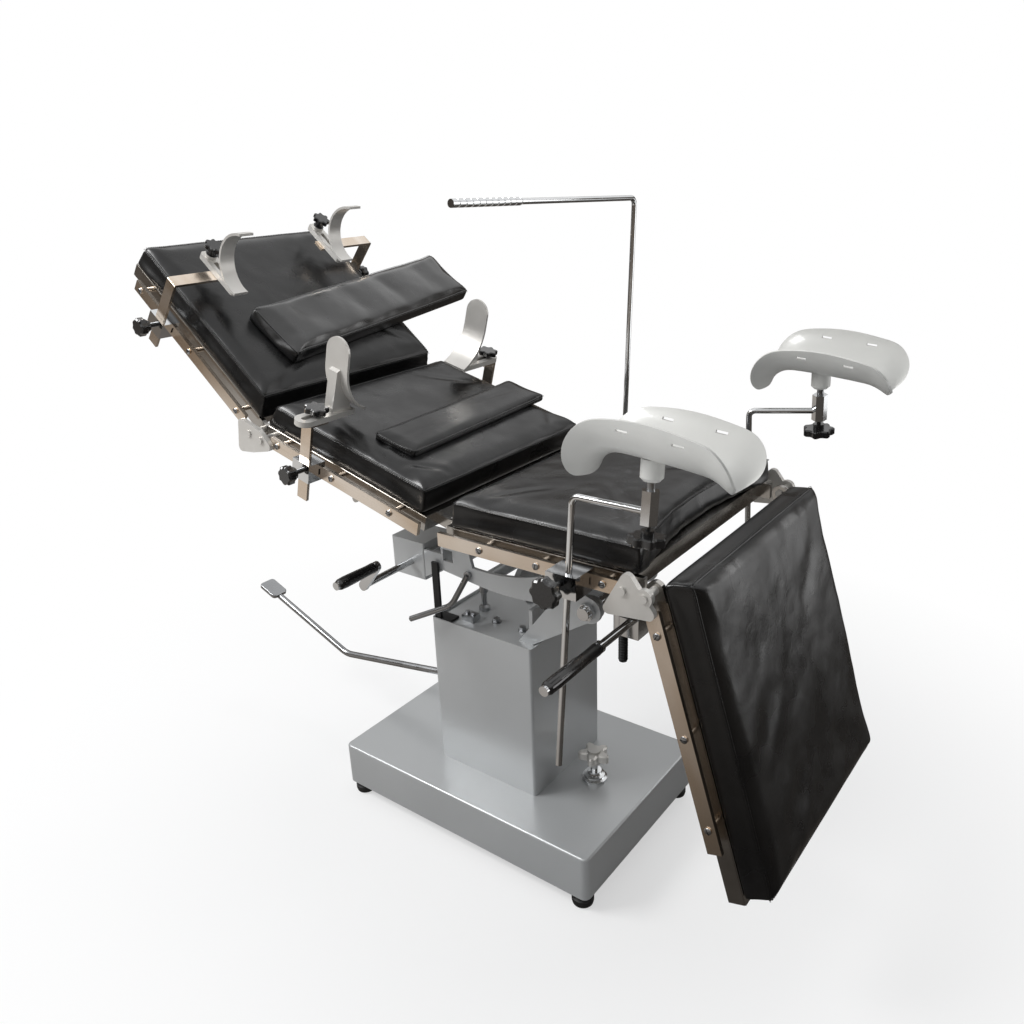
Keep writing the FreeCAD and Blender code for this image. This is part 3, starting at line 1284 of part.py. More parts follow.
def side_paddle(u, inner_y):
    # A cast arm with a long slot over the post, and a swept plate on a rib at its inner end.
    low = SIDE_TOP + STRIP_GAP
    top = low + SIDE_ARM_THICK
    half = SIDE_ARM_WIDTH / 2
    outer = inner_y + SIDE_ARM_LENGTH
    arm = fused(box(u - half, u + half, inner_y, outer - half, low, top),
                rod(V(u, outer - half, low), V(u, outer - half, top), half))
    slot_y = outer - SIDE_SLOT_END
    slot = box(u - SIDE_SLOT_WIDTH / 2, u + SIDE_SLOT_WIDTH / 2, slot_y - SIDE_SLOT_LENGTH,
               slot_y, low - 1, top + 1)
    slot = slot.makeFillet(SIDE_SLOT_WIDTH / 2 - 0.1, upright_edges(slot))
    face = inner_y + PADDLE_OUT
    rib = plate_yz([(inner_y + 4, top - 1), (face + PADDLE_THICK + RIB_DEPTH, top - 1),
                    (face + PADDLE_THICK + RIB_DEPTH * 0.6, RIB_TOP), (face + 2, RIB_TOP + 6)],
                   u - RIB_WIDTH / 2, u + RIB_WIDTH / 2)
    inside = sweep_block(u, face)
    return fused(arm.cut(slot), rib.cut(inside), paddle_plate(u, face))


def paddle_points(face, offset):
    # The swept line of the plate in the Y-Z plane: top, start, middle and end of the sweep.
    radius = PADDLE_SWEEP_RADIUS + offset
    hub = face - PADDLE_SWEEP_RADIUS
    points = [(hub + radius, PADDLE_TOP)]
    for degrees in (0, PADDLE_SWEEP / 2, PADDLE_SWEEP):
        angle = math.radians(degrees)
        points.append((hub + radius * math.cos(angle), PADDLE_STRAIGHT - radius * math.sin(angle)))
    return points


def paddle_plate(u, face):
    half = PADDLE_WIDTH / 2
    inner = [V(u - half, y, z) for y, z in paddle_points(face, 0)]
    outer = [V(u - half, y, z) for y, z in paddle_points(face, PADDLE_THICK)]
    edges = [Part.LineSegment(inner[0], inner[1]).toShape(),
             Part.Arc(inner[1], inner[2], inner[3]).toShape(),
             Part.LineSegment(inner[3], outer[3]).toShape(),
             Part.Arc(outer[3], outer[2], outer[1]).toShape(),
             Part.LineSegment(outer[1], outer[0]).toShape(),
             Part.LineSegment(outer[0], inner[0]).toShape()]
    plate = Part.Face(Part.Wire(edges)).extrude(V(PADDLE_WIDTH, 0, 0))
    front = box(u - half, u + half, face - 120, face + 20, 0, PADDLE_TOP - half)
    crown = disc_y(u, PADDLE_TOP - half, half, face - 120, face + 20)
    return plate.common(fused(front, crown))


def sweep_block(u, face):
    # Everything on the patient's side of the plate's outer face.
    half = PADDLE_WIDTH
    outer = [V(u - half, y, z) for y, z in paddle_points(face, PADDLE_THICK / 2)]
    far_y = face - 200
    edges = [Part.LineSegment(outer[0], outer[1]).toShape(),
             Part.Arc(outer[1], outer[2], outer[3]).toShape(),
             Part.LineSegment(outer[3], V(u - half, far_y, outer[3].z)).toShape(),
             Part.LineSegment(V(u - half, far_y, outer[3].z), V(u - half, far_y, outer[0].z)).toShape(),
             Part.LineSegment(V(u - half, far_y, outer[0].z), outer[0]).toShape()]
    return Part.Face(Part.Wire(edges)).extrude(V(2 * half, 0, 0))


# Leg holders, drawn upright with the rod's axis through the clamp as the Z axis

def holder_rod():
    low = V(0, 0, -HOLDER_ROD_BELOW)
    top = V(0, 0, HOLDER_ROD_ABOVE)
    end = V(HOLDER_ARM - 6, 0, HOLDER_ROD_ABOVE)
    bent = bent_rod([low, top, end], HOLDER_BEND, HOLDER_ROD_RADIUS)
    hexagon = hex_bolt(HOLDER_ARM, 0, HOLDER_ROD_ABOVE - HEX_BELOW, HEX_FLATS, HEX_BELOW + HEX_ABOVE)
    whole = fused(bent, hexagon)
    low = HOLDER_ROD_ABOVE - HEX_BELOW
    screw_hole = rod(V(HOLDER_ARM, 0, low - 1), V(HOLDER_ARM, 0, HOLDER_ROD_ABOVE),
                     HEX_SCREW_RADIUS + RUNNING_GAP)
    neck_hole = rod(V(HOLDER_ARM, 0, HOLDER_ROD_ABOVE - 3), V(HOLDER_ARM, 0, HOLDER_ROD_ABOVE + HEX_ABOVE + 1),
                    NECK_RADIUS + RUNNING_GAP)
    return whole.cut(screw_hole).cut(neck_hole)


def holder_star():
    # The star knob's stem reaches up into the hexagon from below.
    z = HOLDER_ROD_ABOVE - HEX_BELOW
    star = lobed_disc(STAR_RADIUS, STAR_LOBES, STAR_RADIUS * 0.2, STAR_THICK)
    star = star.translated(V(0, 0, z - STAR_DROP - STAR_THICK))
    hub = rod(V(0, 0, z - STAR_DROP - 2), V(0, 0, z - STAR_DROP + 8), 10)
    stem = rod(V(0, 0, z - STAR_DROP), V(0, 0, z + HEX_BELOW - 8), HEX_SCREW_RADIUS)
    return fused(star, hub, stem).translated(V(HOLDER_ARM, 0, 0))


def shell_section(side, share):
    # One cross-section of the knee shell. It lies on the straight trough where share is 0 and
    # at the tip of one end where it is 1; side is -1 at the knee's upper end and 1 at its lower.
    start = SHELL_FOOT_START if side > 0 else SHELL_HEAD_START
    turn = SHELL_FOOT_TURN if side > 0 else SHELL_HEAD_TURN
    end_depth = SHELL_FOOT_DEPTH if side > 0 else SHELL_HEAD_DEPTH
    roll = math.radians(turn) * share
    x = start + side * SHELL_ROLL_RADIUS * math.sin(roll)
    z = -SHELL_ROLL_RADIUS * (1 - math.cos(roll))
    up = V(side * math.sin(roll), 0, math.cos(roll))
    half = SHELL_TIP_WIDTH + (SHELL_HALF_WIDTH - SHELL_TIP_WIDTH) * math.sqrt(1 - share ** 3)
    depth = SHELL_DEPTH + (end_depth - SHELL_DEPTH) * share ** 1.6
    depth = depth * half / SHELL_HALF_WIDTH
    return shell_wire(V(x, 0, z), up, half, depth)


def shell_wire(middle, up, half, depth):
    # The inner arc sags by depth over its width; the outer arc lies one wall further out.
    radius = (half ** 2 + depth ** 2) / (2 * depth)
    hub = middle + up * radius
    reach = math.asin(min(1.0, half / radius))
    if depth > radius:
        reach = math.pi - reach
    rings = []
    for r in (radius, radius + SHELL_THICK):
        rings.append([hub + V(0, r * math.sin(a), 0) - up * (r * math.cos(a))
                      for a in (-reach, 0, reach)])
    inner, outer = rings
    edges = [Part.Arc(*inner).toShape(), Part.LineSegment(inner[2], outer[2]).toShape(),
             Part.Arc(*reversed(outer)).toShape(), Part.LineSegment(outer[0], inner[0]).toShape()]
    return Part.Wire(edges)


def holder_shell(turn):
    # The saddle-shaped knee shell, its socket and the neck that turns in the hexagon.
    shares = (0, 0.25, 0.5, 0.72, 0.88, 0.97, 1.0)
    sections = [shell_section(-1, share) for share in reversed(shares)]
    sections += [shell_section(1, share) for share in shares]
    shell = Part.makeLoft(sections, True, False)
    middle = (SHELL_HEAD_START + SHELL_FOOT_START) / 2
    for step in (-0.5, 0.5):
        for side in (-1, 1):
            shell = shell.cut(shell_slot(middle + step * SHELL_SLOT_STEP, side))
    base_z = HOLDER_ROD_ABOVE + HEX_ABOVE + NECK_HEIGHT + SOCKET_HEIGHT
    shell = shell.rotated(V(0, 0, 0), V(0, 1, 0), SHELL_PITCH)
    shell = shell.translated(V(0, 0, base_z + SHELL_THICK))
    neck = rod(V(0, 0, HOLDER_ROD_ABOVE - 2), V(0, 0, HOLDER_ROD_ABOVE + HEX_ABOVE + NECK_HEIGHT + 2), NECK_RADIUS)
    z = HOLDER_ROD_ABOVE + HEX_ABOVE + NECK_HEIGHT
    socket = revolved([(0, z), (SOCKET_RADIUS - 5, z), (SOCKET_RADIUS, z + 5),
                       (SOCKET_RADIUS, base_z + 2), (0, base_z + 2)])
    return turned_flat(fused(shell, neck, socket), turn).translated(V(HOLDER_ARM, 0, 0))


def shell_slot(x, side):
    # A strap slot through the wall just under the rim.
    z = SHELL_DEPTH - SHELL_SLOT_DROP
    return box(x - SHELL_SLOT_LENGTH / 2, x + SHELL_SLOT_LENGTH / 2,
               side * SHELL_HALF_WIDTH - 24, side * SHELL_HALF_WIDTH + 24,
               z - SHELL_SLOT_HEIGHT / 2, z + SHELL_SLOT_HEIGHT / 2)


def holder_near(shape):
    placed = shape.rotated(V(0, 0, 0), V(1, 0, 0), -HOLDER_LEAN)
    return placed.translated(V(HOLDER_X, -HOLDER_ROD_Y, HINGE_Z))


def holder_far(shape):
    placed = shape.rotated(V(0, 0, 0), V(0, 0, 1), HOLDER_FAR_TURN)
    placed = placed.rotated(V(0, 0, 0), V(1, 0, 0), HOLDER_LEAN)
    return placed.translated(V(HOLDER_X + HOLDER_FAR_SHIFT, HOLDER_ROD_Y, HINGE_Z))


# Anaesthesia screen

def screen_rod():
    y = CLAMP_OUTER - STRIP_DEPTH
    rise = math.tan(math.radians(SCREEN_RISE)) * SCREEN_REACH
    end = V(SCREEN_X, y - SCREEN_REACH, SCREEN_TOP + rise)
    bent = bent_rod([V(SCREEN_X, y, SCREEN_BOTTOM), V(SCREEN_X, y, SCREEN_TOP), end],
                    SCREEN_BEND, SCREEN_ROD_RADIUS)
    r = SCREEN_SLEEVE_RADIUS
    step = SCREEN_SLEEVE_LENGTH / SCREEN_SLEEVE_GROOVES
    profile = [(0, 0)]
    for k in range(SCREEN_SLEEVE_GROOVES):
        profile += [(r, k * step), (r, (k + 0.8) * step), (r - 0.8, (k + 0.85) * step),
                    (r - 0.8, (k + 0.98) * step)]
    profile += [(r, SCREEN_SLEEVE_LENGTH), (0, SCREEN_SLEEVE_LENGTH)]
    sleeve = revolved(profile).rotated(V(0, 0, 0), V(1, 0, 0), -90 - SCREEN_RISE)
    whole = fused(bent, sleeve.translated(end))
    return whole.rotated(V(SCREEN_X, y, HINGE_Z), V(0, 1, 0), SCREEN_LEAN)


def side_piece(shape, far):
    return shape if far else mirrored(shape)


def main():
    os.makedirs("parts", exist_ok=True)
    save("base_cover", base_cover())
    save("base_plate", base_plate())
    save("feet", feet())
    save("column_cover", column_cover())
    save("hydraulic_cylinder", hydraulic_cylinder())
    save("lock_flange", lock_flange())
    save("floor_lock_knob", floor_lock_knob())
    save("foot_pedal", foot_pedal())

    save("ram", ram())
    save("lift_head", lift_head())
    save("head_fittings", head_fittings())
    save("pivot_pin", pivot_pin())
    save("guide_post", guide_post())

    save("cradle", cradle())
    save("gearbox", gearbox())
    save("side_tilt_lever", side_tilt_lever())
    save("tilt_crank", tilt_crank())
    save("tilt_crank_grip", tilt_crank_grip())

    save("seat_frame", seat_frame())
    save("seat_pad", seat_pad())
    save("seat_rails", seat_rails())
    save("leg_hinge_castings", leg_hinge_castings())
    save("leg_gearbox", leg_gearbox())
    save("leg_crank", leg_crank())
    save("leg_crank_grip", leg_crank_grip())
    save("leg_screw", leg_screw())
    save("seat_clamps", seat_clamps())
    save("seat_knobs", seat_knobs())

    save("back_frame", back_frame())
    save("back_pad", back_pad())
    save("back_rails", back_rails())
    save("head_hinge_castings", head_hinge_castings())
    save("back_clamps", back_clamps())
    save("back_knobs", back_knobs())
    save("kidney_pad", kidney_pad())
    save("kidney_lift", kidney_lift())

    save("head_frame", head_frame())
    save("head_pad", head_pad())
    save("head_rails", head_rails())
    save("arm_board_pad", arm_board_pad())
    save("head_clamps", head_clamps())
    save("head_knobs", head_knobs())

    save("leg_frame", leg_frame())
    save("leg_pad", leg_pad())
    save("leg_rails", leg_rails())

    for side, far in (("near", False), ("far", True)):
        shoulder_u = SHOULDER_U + (SHOULDER_FAR_SHIFT if far else 0)
        reach_y = SHOULDER_BAR_END_Y - (SHOULDER_FAR_REACH if far else 0)
        side_u = SIDE_U + (SIDE_FAR_SHIFT if far else 0)
        inner_y = SIDE_ARM_INNER_Y - (SIDE_FAR_REACH if far else 0)
        place = holder_far if far else holder_near
        save(side + "_shoulder_bar", on_head(side_piece(shoulder_bar(shoulder_u, reach_y), far)))
        save(side + "_shoulder_blade", on_head(side_piece(shoulder_blade(shoulder_u, reach_y), far)))
        save(side + "_side_post", on_back(side_piece(side_post(side_u), far)))
        save(side + "_side_paddle", on_back(side_piece(side_paddle(side_u, inner_y), far)))
        save(side + "_holder_rod", place(holder_rod()))
        save(side + "_holder_star", place(holder_star()))
        save(side + "_holder_shell", place(holder_shell(SHELL_FAR_TURN if far else 0)))
    save("screen_rod", screen_rod())


main()
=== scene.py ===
# %% [markdown]
# # An operating table, dressed for a studio photograph
#
# The table stands on a square column. Its top has four hinged sections, each with its own black
# pad and a steel rail down both sides. The solids of the frame come ready made and stay where
# they are. This lesson gives every one of them its finish, sews the six pads, adds the small
# repeated parts, and puts a plain studio round the table.

# %% Load the frame
import json
import math

import bmesh
import bpy
from mathutils import Matrix, Vector, noise
from mathutils.bvhtree import BVHTree


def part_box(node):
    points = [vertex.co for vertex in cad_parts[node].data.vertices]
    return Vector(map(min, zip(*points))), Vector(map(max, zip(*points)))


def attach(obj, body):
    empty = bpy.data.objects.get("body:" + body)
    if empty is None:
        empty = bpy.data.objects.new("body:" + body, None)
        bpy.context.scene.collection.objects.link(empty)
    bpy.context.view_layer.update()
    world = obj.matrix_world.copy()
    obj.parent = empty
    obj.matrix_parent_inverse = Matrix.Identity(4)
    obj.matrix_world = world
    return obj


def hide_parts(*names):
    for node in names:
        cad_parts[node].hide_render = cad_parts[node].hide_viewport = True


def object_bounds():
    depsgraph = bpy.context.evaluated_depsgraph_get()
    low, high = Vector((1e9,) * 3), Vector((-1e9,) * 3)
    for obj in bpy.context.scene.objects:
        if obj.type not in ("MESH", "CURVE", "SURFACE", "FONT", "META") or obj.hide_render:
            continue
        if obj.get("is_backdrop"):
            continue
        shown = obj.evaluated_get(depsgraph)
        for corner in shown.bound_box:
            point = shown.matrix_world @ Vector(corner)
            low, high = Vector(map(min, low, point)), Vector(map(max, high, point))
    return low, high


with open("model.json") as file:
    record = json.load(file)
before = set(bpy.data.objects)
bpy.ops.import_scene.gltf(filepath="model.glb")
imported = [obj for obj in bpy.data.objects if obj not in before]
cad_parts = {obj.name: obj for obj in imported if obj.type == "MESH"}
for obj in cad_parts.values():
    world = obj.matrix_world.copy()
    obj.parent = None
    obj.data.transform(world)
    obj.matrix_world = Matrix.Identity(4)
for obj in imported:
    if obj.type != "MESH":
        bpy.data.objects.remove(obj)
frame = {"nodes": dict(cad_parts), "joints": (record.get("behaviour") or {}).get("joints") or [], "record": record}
cad_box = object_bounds()
size = cad_box[1] - cad_box[0]
print("box in mm:", [round(1000 * s) for s in size])

# %% [markdown]
# ## Helpers for colour and for shader nodes
#
# Colours are written as the hex values that a paint chart would give. Shaders work in linear
# light, so one function converts them. A second function adds a node: its settings come as
# keywords, its inputs as a dictionary, and an input is either a plain value or another socket.

# %% Colour and node helpers
def linear(hex_colour):
    parts = [int(hex_colour[i:i + 2], 16) / 255 for i in (1, 3, 5)]
    parts = [c / 12.92 if c <= 0.04045 else ((c + 0.055) / 1.055) ** 2.4 for c in parts]
    return (*parts, 1.0)


def add(tree, kind, inputs=None, **settings):
    made = tree.nodes.new(kind)
    for key, value in settings.items():
        setattr(made, key, value)
    for key, value in (inputs or {}).items():
        if isinstance(value, bpy.types.NodeSocket):
            tree.links.new(value, made.inputs[key])
        else:
            made.inputs[key].default_value = value
    return made


def new_material(name):
    # An empty material with its output, its Principled shader and the object's coordinates.
    mat = bpy.data.materials.new(name)
    mat.use_nodes = True
    tree = mat.node_tree
    tree.nodes.clear()
    shader = add(tree, "ShaderNodeBsdfPrincipled")
    add(tree, "ShaderNodeOutputMaterial", {"Surface": shader.outputs["BSDF"]})
    coords = add(tree, "ShaderNodeTexCoord").outputs["Object"]
    return mat, tree, shader, coords


# %% [markdown]
# ## Helpers that every finish shares
#
# No real surface has one flat colour or one gloss. So every finish below mixes two shades and
# two roughnesses by a slow noise, and bends its surface a little by a fine one. Five short
# functions take up what they share: a noise of a real size, a mix of two shades, a range of
# values, a bump, and the last links.

# %% Noise, tone, range and bump
MM = 0.001


def noise_of(tree, coords, grain, detail=3.0, **more):
    # Noise whose grains are as far apart as the length given, in metres.
    made = add(tree, "ShaderNodeTexNoise", {"Vector": coords, "Scale": 1 / grain,
                                            "Detail": detail, **more})
    return made.outputs["Fac"]


def two_tone(tree, share, colour, second):
    made = add(tree, "ShaderNodeMix", {"Factor": share, "A": linear(colour), "B": linear(second)},
               data_type="RGBA")
    return made.outputs["Result"]


def ranged(tree, value, low, high, start=0.3, end=0.7):
    made = add(tree, "ShaderNodeMapRange", {"Value": value, "From Min": start, "From Max": end,
                                            "To Min": low, "To Max": high})
    return made.outputs["Result"]


def bumped(tree, height, strength, distance, **more):
    made = add(tree, "ShaderNodeBump", {"Height": height, "Strength": strength,
                                        "Distance": distance, **more})
    return made.outputs["Normal"]


def wear(tree, shader, colour, rough, normal, **constants):
    # Links the three fields to the shader and writes its constants, with _ for each space.
    tree.links.new(colour, shader.inputs["Base Color"])
    tree.links.new(rough, shader.inputs["Roughness"])
    tree.links.new(normal, shader.inputs["Normal"])
    for key, value in constants.items():
        shader.inputs[key.replace("_", " ")].default_value = value


print("pad black in linear light:", [round(c, 4) for c in linear("#080808")[:3]])

# %% [markdown]
# ## Silver-grey enamel
#
# The base, the column and the cradle are folded sheet steel with a sprayed and baked enamel.
# Sprayed enamel dries with a very fine waviness, called orange peel, about 4 mm from crest to
# crest. It breaks up a reflection just enough that a big panel doesn't look like plastic. A
# slow change of tone, some 250 mm across, stands for the uneven coat.

# %% Enamel
def enamel(name, colour, light_colour, roughness):
    mat, tree, shader, coords = new_material(name)
    peel = noise_of(tree, coords, 4 * MM, 2.0)
    cloud = noise_of(tree, coords, 250 * MM)
    wear(tree, shader, two_tone(tree, cloud, colour, light_colour),
         ranged(tree, cloud, roughness - 0.05, roughness + 0.06),
         bumped(tree, peel, 0.05, 0.4 * MM),
         Metallic=0.35, Coat_Weight=0.25, Coat_Roughness=0.22)
    return mat


silver_enamel = enamel("silver_enamel", "#abadae", "#b9bbbc", 0.34)

# %% [markdown]
# ## Stainless rail bar
#
# The side rails are drawn stainless flat bar. Drawing leaves long fine scratches along the bar.
# The real ones are 0.1 mm apart, too fine for one pixel, so they are drawn 1.5 mm apart and
# 300 mm long. Each section of the table leans by its own angle, and a Mapping node turns the
# scratches with it. Longer clouds, 200 by 70 mm, mix a darker and a lighter warm shade: painted
# reflection streaks, and a painted warm reflection beside the colder chrome.

# %% Stainless
def stainless(name, lean, dark, light):
    mat, tree, shader, coords = new_material(name)
    turned = add(tree, "ShaderNodeMapping", {"Vector": coords,
                                             "Rotation": (0, -math.radians(lean), 0)})

    def stretched(scale, detail):
        drawn = add(tree, "ShaderNodeMapping", {"Vector": turned.outputs["Vector"], "Scale": scale})
        return noise_of(tree, drawn.outputs["Vector"], 1.0, detail)

    lines = stretched((1 / 0.3, 1 / (1.5 * MM), 1 / (1.5 * MM)), 3.0)
    # Painted reflection: these long clouds lay light and dark reflected streaks into the colour.
    cloud = stretched((5, 14, 14), 2.0)
    wear(tree, shader, two_tone(tree, ranged(tree, cloud, 0, 1, 0.35, 0.65), dark, light),
         ranged(tree, lines, 0.2, 0.27), bumped(tree, lines, 0.02, 0.1 * MM), Metallic=1.0)
    return mat


LEANS = {"seat": 0.0, "back": 15.3, "head": 40.0, "leg": 73.0}
# Both shades are warm: a painted warm reflection on the steel.
rail_steel = {part: stainless("stainless_rail_" + part, lean, "#d3c1ad", "#eee4d9")
              for part, lean in LEANS.items()}
print("rail finishes:", sorted(rail_steel))

# %% [markdown]
# ## Chrome, cast aluminium and blackened steel
#
# Chrome plate is a mirror. Handling leaves faint smears that only show in the roughness. The
# hinges and supports are sand-cast aluminium, tumbled and lacquered: a pale skin with a soft
# pebble about 2 mm across. Bolts and hidden posts are blackened in hot oil, dark and a little
# greasy.

# %% Plated, cast and blackened metal
def plain_metal(name, colour, worn_colour, grain, depth, rough_low, rough_high, metallic):
    mat, tree, shader, coords = new_material(name)
    pebble = noise_of(tree, coords, grain)
    smear = noise_of(tree, coords, 60 * MM, 4.0)
    wear(tree, shader, two_tone(tree, smear, colour, worn_colour),
         ranged(tree, smear, rough_low, rough_high), bumped(tree, pebble, depth, 0.3 * MM),
         Metallic=metallic)
    return mat


chrome = plain_metal("chrome_plate", "#cfd1d3", "#e2e3e4", 8 * MM, 0.01, 0.06, 0.14, 1.0)
cast_aluminium = plain_metal("cast_aluminium", "#c2bfba", "#d6d4d0", 2 * MM, 0.12, 0.3, 0.44, 0.5)
black_steel = plain_metal("blackened_steel", "#2a2b2c", "#3c3d3e", 1.5 * MM, 0.1, 0.32, 0.5, 0.8)
frame_steel = plain_metal("polished_sheet_steel", "#a5a29e", "#c4c1bd", 3 * MM, 0.02, 0.14, 0.24,
                          1.0)
turned_steel = plain_metal("turned_steel", "#8f9092", "#a9abad", 3 * MM, 0.05, 0.22, 0.36, 1.0)

# %% [markdown]
# ## Bakelite, rubber and moulded shell
#
# The knobs and grips are pressed phenolic, known as bakelite, polished black. The leg shells
# are pressed from a pale grey thermoplastic with a satin skin; light enters the skin a little,
# which softens their shaded side. The feet are plain black rubber.

# %% Plastics and rubber
def moulded(name, colour, second, roughness, coat, grain, depth):
    mat, tree, shader, coords = new_material(name)
    skin = noise_of(tree, coords, grain)
    cloud = noise_of(tree, coords, 90 * MM)
    wear(tree, shader, two_tone(tree, cloud, colour, second),
         ranged(tree, cloud, roughness - 0.05, roughness + 0.07),
         bumped(tree, skin, depth, 0.3 * MM), Coat_Weight=coat, Coat_Roughness=0.08)
    return mat


bakelite = moulded("bakelite", "#101011", "#1b1b1c", 0.24, 0.5, 6 * MM, 0.03)
rubber = moulded("foot_rubber", "#161616", "#222222", 0.6, 0.0, 1.5 * MM, 0.15)
shell_plastic = moulded("shell_plastic", "#c9c9c5", "#d7d6d2", 0.34, 0.25, 5 * MM, 0.03)

# %% [markdown]
# ## Black leatherette
#
# The pads are covered in PVC leatherette: woven backing with an embossed skin. Three scales
# matter. The pores are 1 mm apart and are drawn 2.5 mm apart so that they show. Short creases,
# 30 mm across, catch the lamps as thin streaks. Slow waves, 90 mm across, bend the reflections
# as foam under the cover does. The arm-board pad has a newer, glossier cover, drawn as a clear
# coat over the same skin.

# %% Leatherette
def leatherette(name, gloss):
    mat, tree, shader, coords = new_material(name)
    pores = add(tree, "ShaderNodeTexVoronoi", {"Vector": coords, "Scale": 1 / (2.5 * MM)})
    creases = noise_of(tree, coords, 34 * MM, 4.0, Roughness=0.6, Distortion=1.2)
    waves = noise_of(tree, coords, 90 * MM, 2.0)
    wavy = bumped(tree, waves, 0.3, 4 * MM)
    creased = bumped(tree, creases, 0.22, 2 * MM, Normal=wavy)
    porous = bumped(tree, pores.outputs["Distance"], 0.12, 0.3 * MM, Normal=creased)
    # The colour is a little darker where the crease noise is low, in the hollows, and lighter on the ridges:
    # painted shade and painted highlight along the creases.
    wear(tree, shader, two_tone(tree, creases, "#080808", "#131314"),
         ranged(tree, waves, 0.24, 0.38, 0.35, 0.65), porous, Coat_Weight=gloss,
         Coat_Roughness=0.24)
    return mat


leather = leatherette("black_leatherette", 0.0)
glossy_leather = leatherette("glossy_leatherette", 0.8)
print("covers:", leather.name, "and", glossy_leather.name)

# %% [markdown]
# ## Two finishes on one solid
#
# Some solids hold two finishes: a leg shell is plastic with a steel neck, a side support is a
# steel strip with a bakelite star knob, and the floor lock is a cast star on a polished spindle.
# Instead of cutting the solid, one material mixes two shaders: the second one fills a round drum
# drawn about the neck or the knob. Copying the finished trees keeps each look in one place.

# %% Two finishes, divided by a drum
def copy_nodes(source, tree):
    twins = {}
    for old in source.nodes:
        new = tree.nodes.new(old.bl_idname)
        twins[old] = new
        for key in ("data_type", "noise_dimensions", "feature", "distance"):
            if hasattr(old, key):
                setattr(new, key, getattr(old, key))
        for a, b in zip(old.inputs, new.inputs):
            if hasattr(a, "default_value") and not a.is_linked:
                b.default_value = a.default_value
    for link in source.links:
        out_at = list(link.from_node.outputs).index(link.from_socket)
        in_at = list(link.to_node.inputs).index(link.to_socket)
        tree.links.new(twins[link.from_node].outputs[out_at], twins[link.to_node].inputs[in_at])
    return twins


def two_finishes(name, outside, inside, centre, radius, half_height, turn):
    # The inside finish fills a round drum about a centre; the drum's axis is turned like a part.
    mat = bpy.data.materials.new(name)
    mat.use_nodes = True
    tree = mat.node_tree
    tree.nodes.clear()
    shaders = []
    for source in (outside.node_tree, inside.node_tree):
        twins = copy_nodes(source, tree)
        for old, new in twins.items():
            if old.bl_idname == "ShaderNodeBsdfPrincipled":
                shaders.append(new.outputs["BSDF"])
            if old.bl_idname == "ShaderNodeOutputMaterial":
                tree.nodes.remove(new)
    coords = add(tree, "ShaderNodeTexCoord")
    local = add(tree, "ShaderNodeMapping", {"Vector": coords.outputs["Object"], "Location": centre,
                                            "Rotation": turn,
                                            "Scale": (radius, radius, half_height)},
                vector_type="TEXTURE")
    split = add(tree, "ShaderNodeSeparateXYZ", {"Vector": local.outputs["Vector"]})
    flat = add(tree, "ShaderNodeCombineXYZ", {"X": split.outputs["X"], "Y": split.outputs["Y"]})
    across = add(tree, "ShaderNodeVectorMath", {0: flat.outputs["Vector"]}, operation="LENGTH")
    along = add(tree, "ShaderNodeMath", {0: split.outputs["Z"]}, operation="ABSOLUTE")
    worst = add(tree, "ShaderNodeMath", {0: across.outputs["Value"], 1: along.outputs["Value"]},
                operation="MAXIMUM")
    within = add(tree, "ShaderNodeMath", {0: worst.outputs["Value"], 1: 1.0}, operation="LESS_THAN")
    mixed = add(tree, "ShaderNodeMixShader", {"Fac": within.outputs["Value"], 1: shaders[0],
                                              2: shaders[1]})
    add(tree, "ShaderNodeOutputMaterial", {"Surface": mixed.outputs["Shader"]})
    return mat


# %% [markdown]
# ## Where the drums stand
#
# A node's mesh can hold several loose solids, such as a strip and its star knob. Points that an
# edge joins belong to one solid, and points in the same place are one point. Sorted by size, the
# knob comes first, and its drum is measured from its points, in a frame that leans as its
# section does.

# %% Find a knob and measure its drum
def loose_parts(node):
    # The corner points of each separate solid in a node, the smallest solid first.
    mesh = frame["nodes"][node].data
    spots = {}
    group = list(range(len(mesh.vertices)))

    def root(i):
        while group[i] != i:
            group[i] = group[group[i]]
            i = group[i]
        return i

    for vertex in mesh.vertices:
        key = tuple(round(c, 5) for c in vertex.co)
        group[root(vertex.index)] = root(spots.setdefault(key, vertex.index))
    for edge in mesh.edges:
        group[root(edge.vertices[0])] = root(edge.vertices[1])
    parts = {}
    for vertex in mesh.vertices:
        parts.setdefault(root(vertex.index), []).append(vertex.co.copy())

    def spread(points):
        return sum(max(p[k] for p in points) - min(p[k] for p in points) for k in range(3))

    return sorted(parts.values(), key=spread)


DRUM_SLACK = 0.0006


def drum_round(points, turn):
    # Centre, radius and half height of the upright drum round some points, in a turned frame.
    matrix = Matrix.Rotation(turn[1], 3, "Y") @ Matrix.Rotation(turn[0], 3, "X")
    local = [matrix.inverted() @ p for p in points]
    low = Vector([min(p[k] for p in local) for k in range(3)])
    high = Vector([max(p[k] for p in local) for k in range(3)])
    middle = (low + high) / 2
    half = (high - low) / 2
    return matrix @ middle, max(half.x, half.y) + DRUM_SLACK, half.z + DRUM_SLACK


# %% [markdown]
# ## The finishes that need a drum
#
# The star knobs of the shoulder and side supports are found from the mesh. A shell's neck sits
# on the joint that the shell turns about, so its drum takes that joint's place and axis. The
# floor lock's star is the top of its node.

# %% Knobs, necks and the floor lock's star
NECK_RADIUS = 0.007
NECK_HALF = 0.0185
NECK_UP = 0.006
STAR_DROP = 0.012
STAR_RADIUS = 0.06
STAR_HALF = 0.022

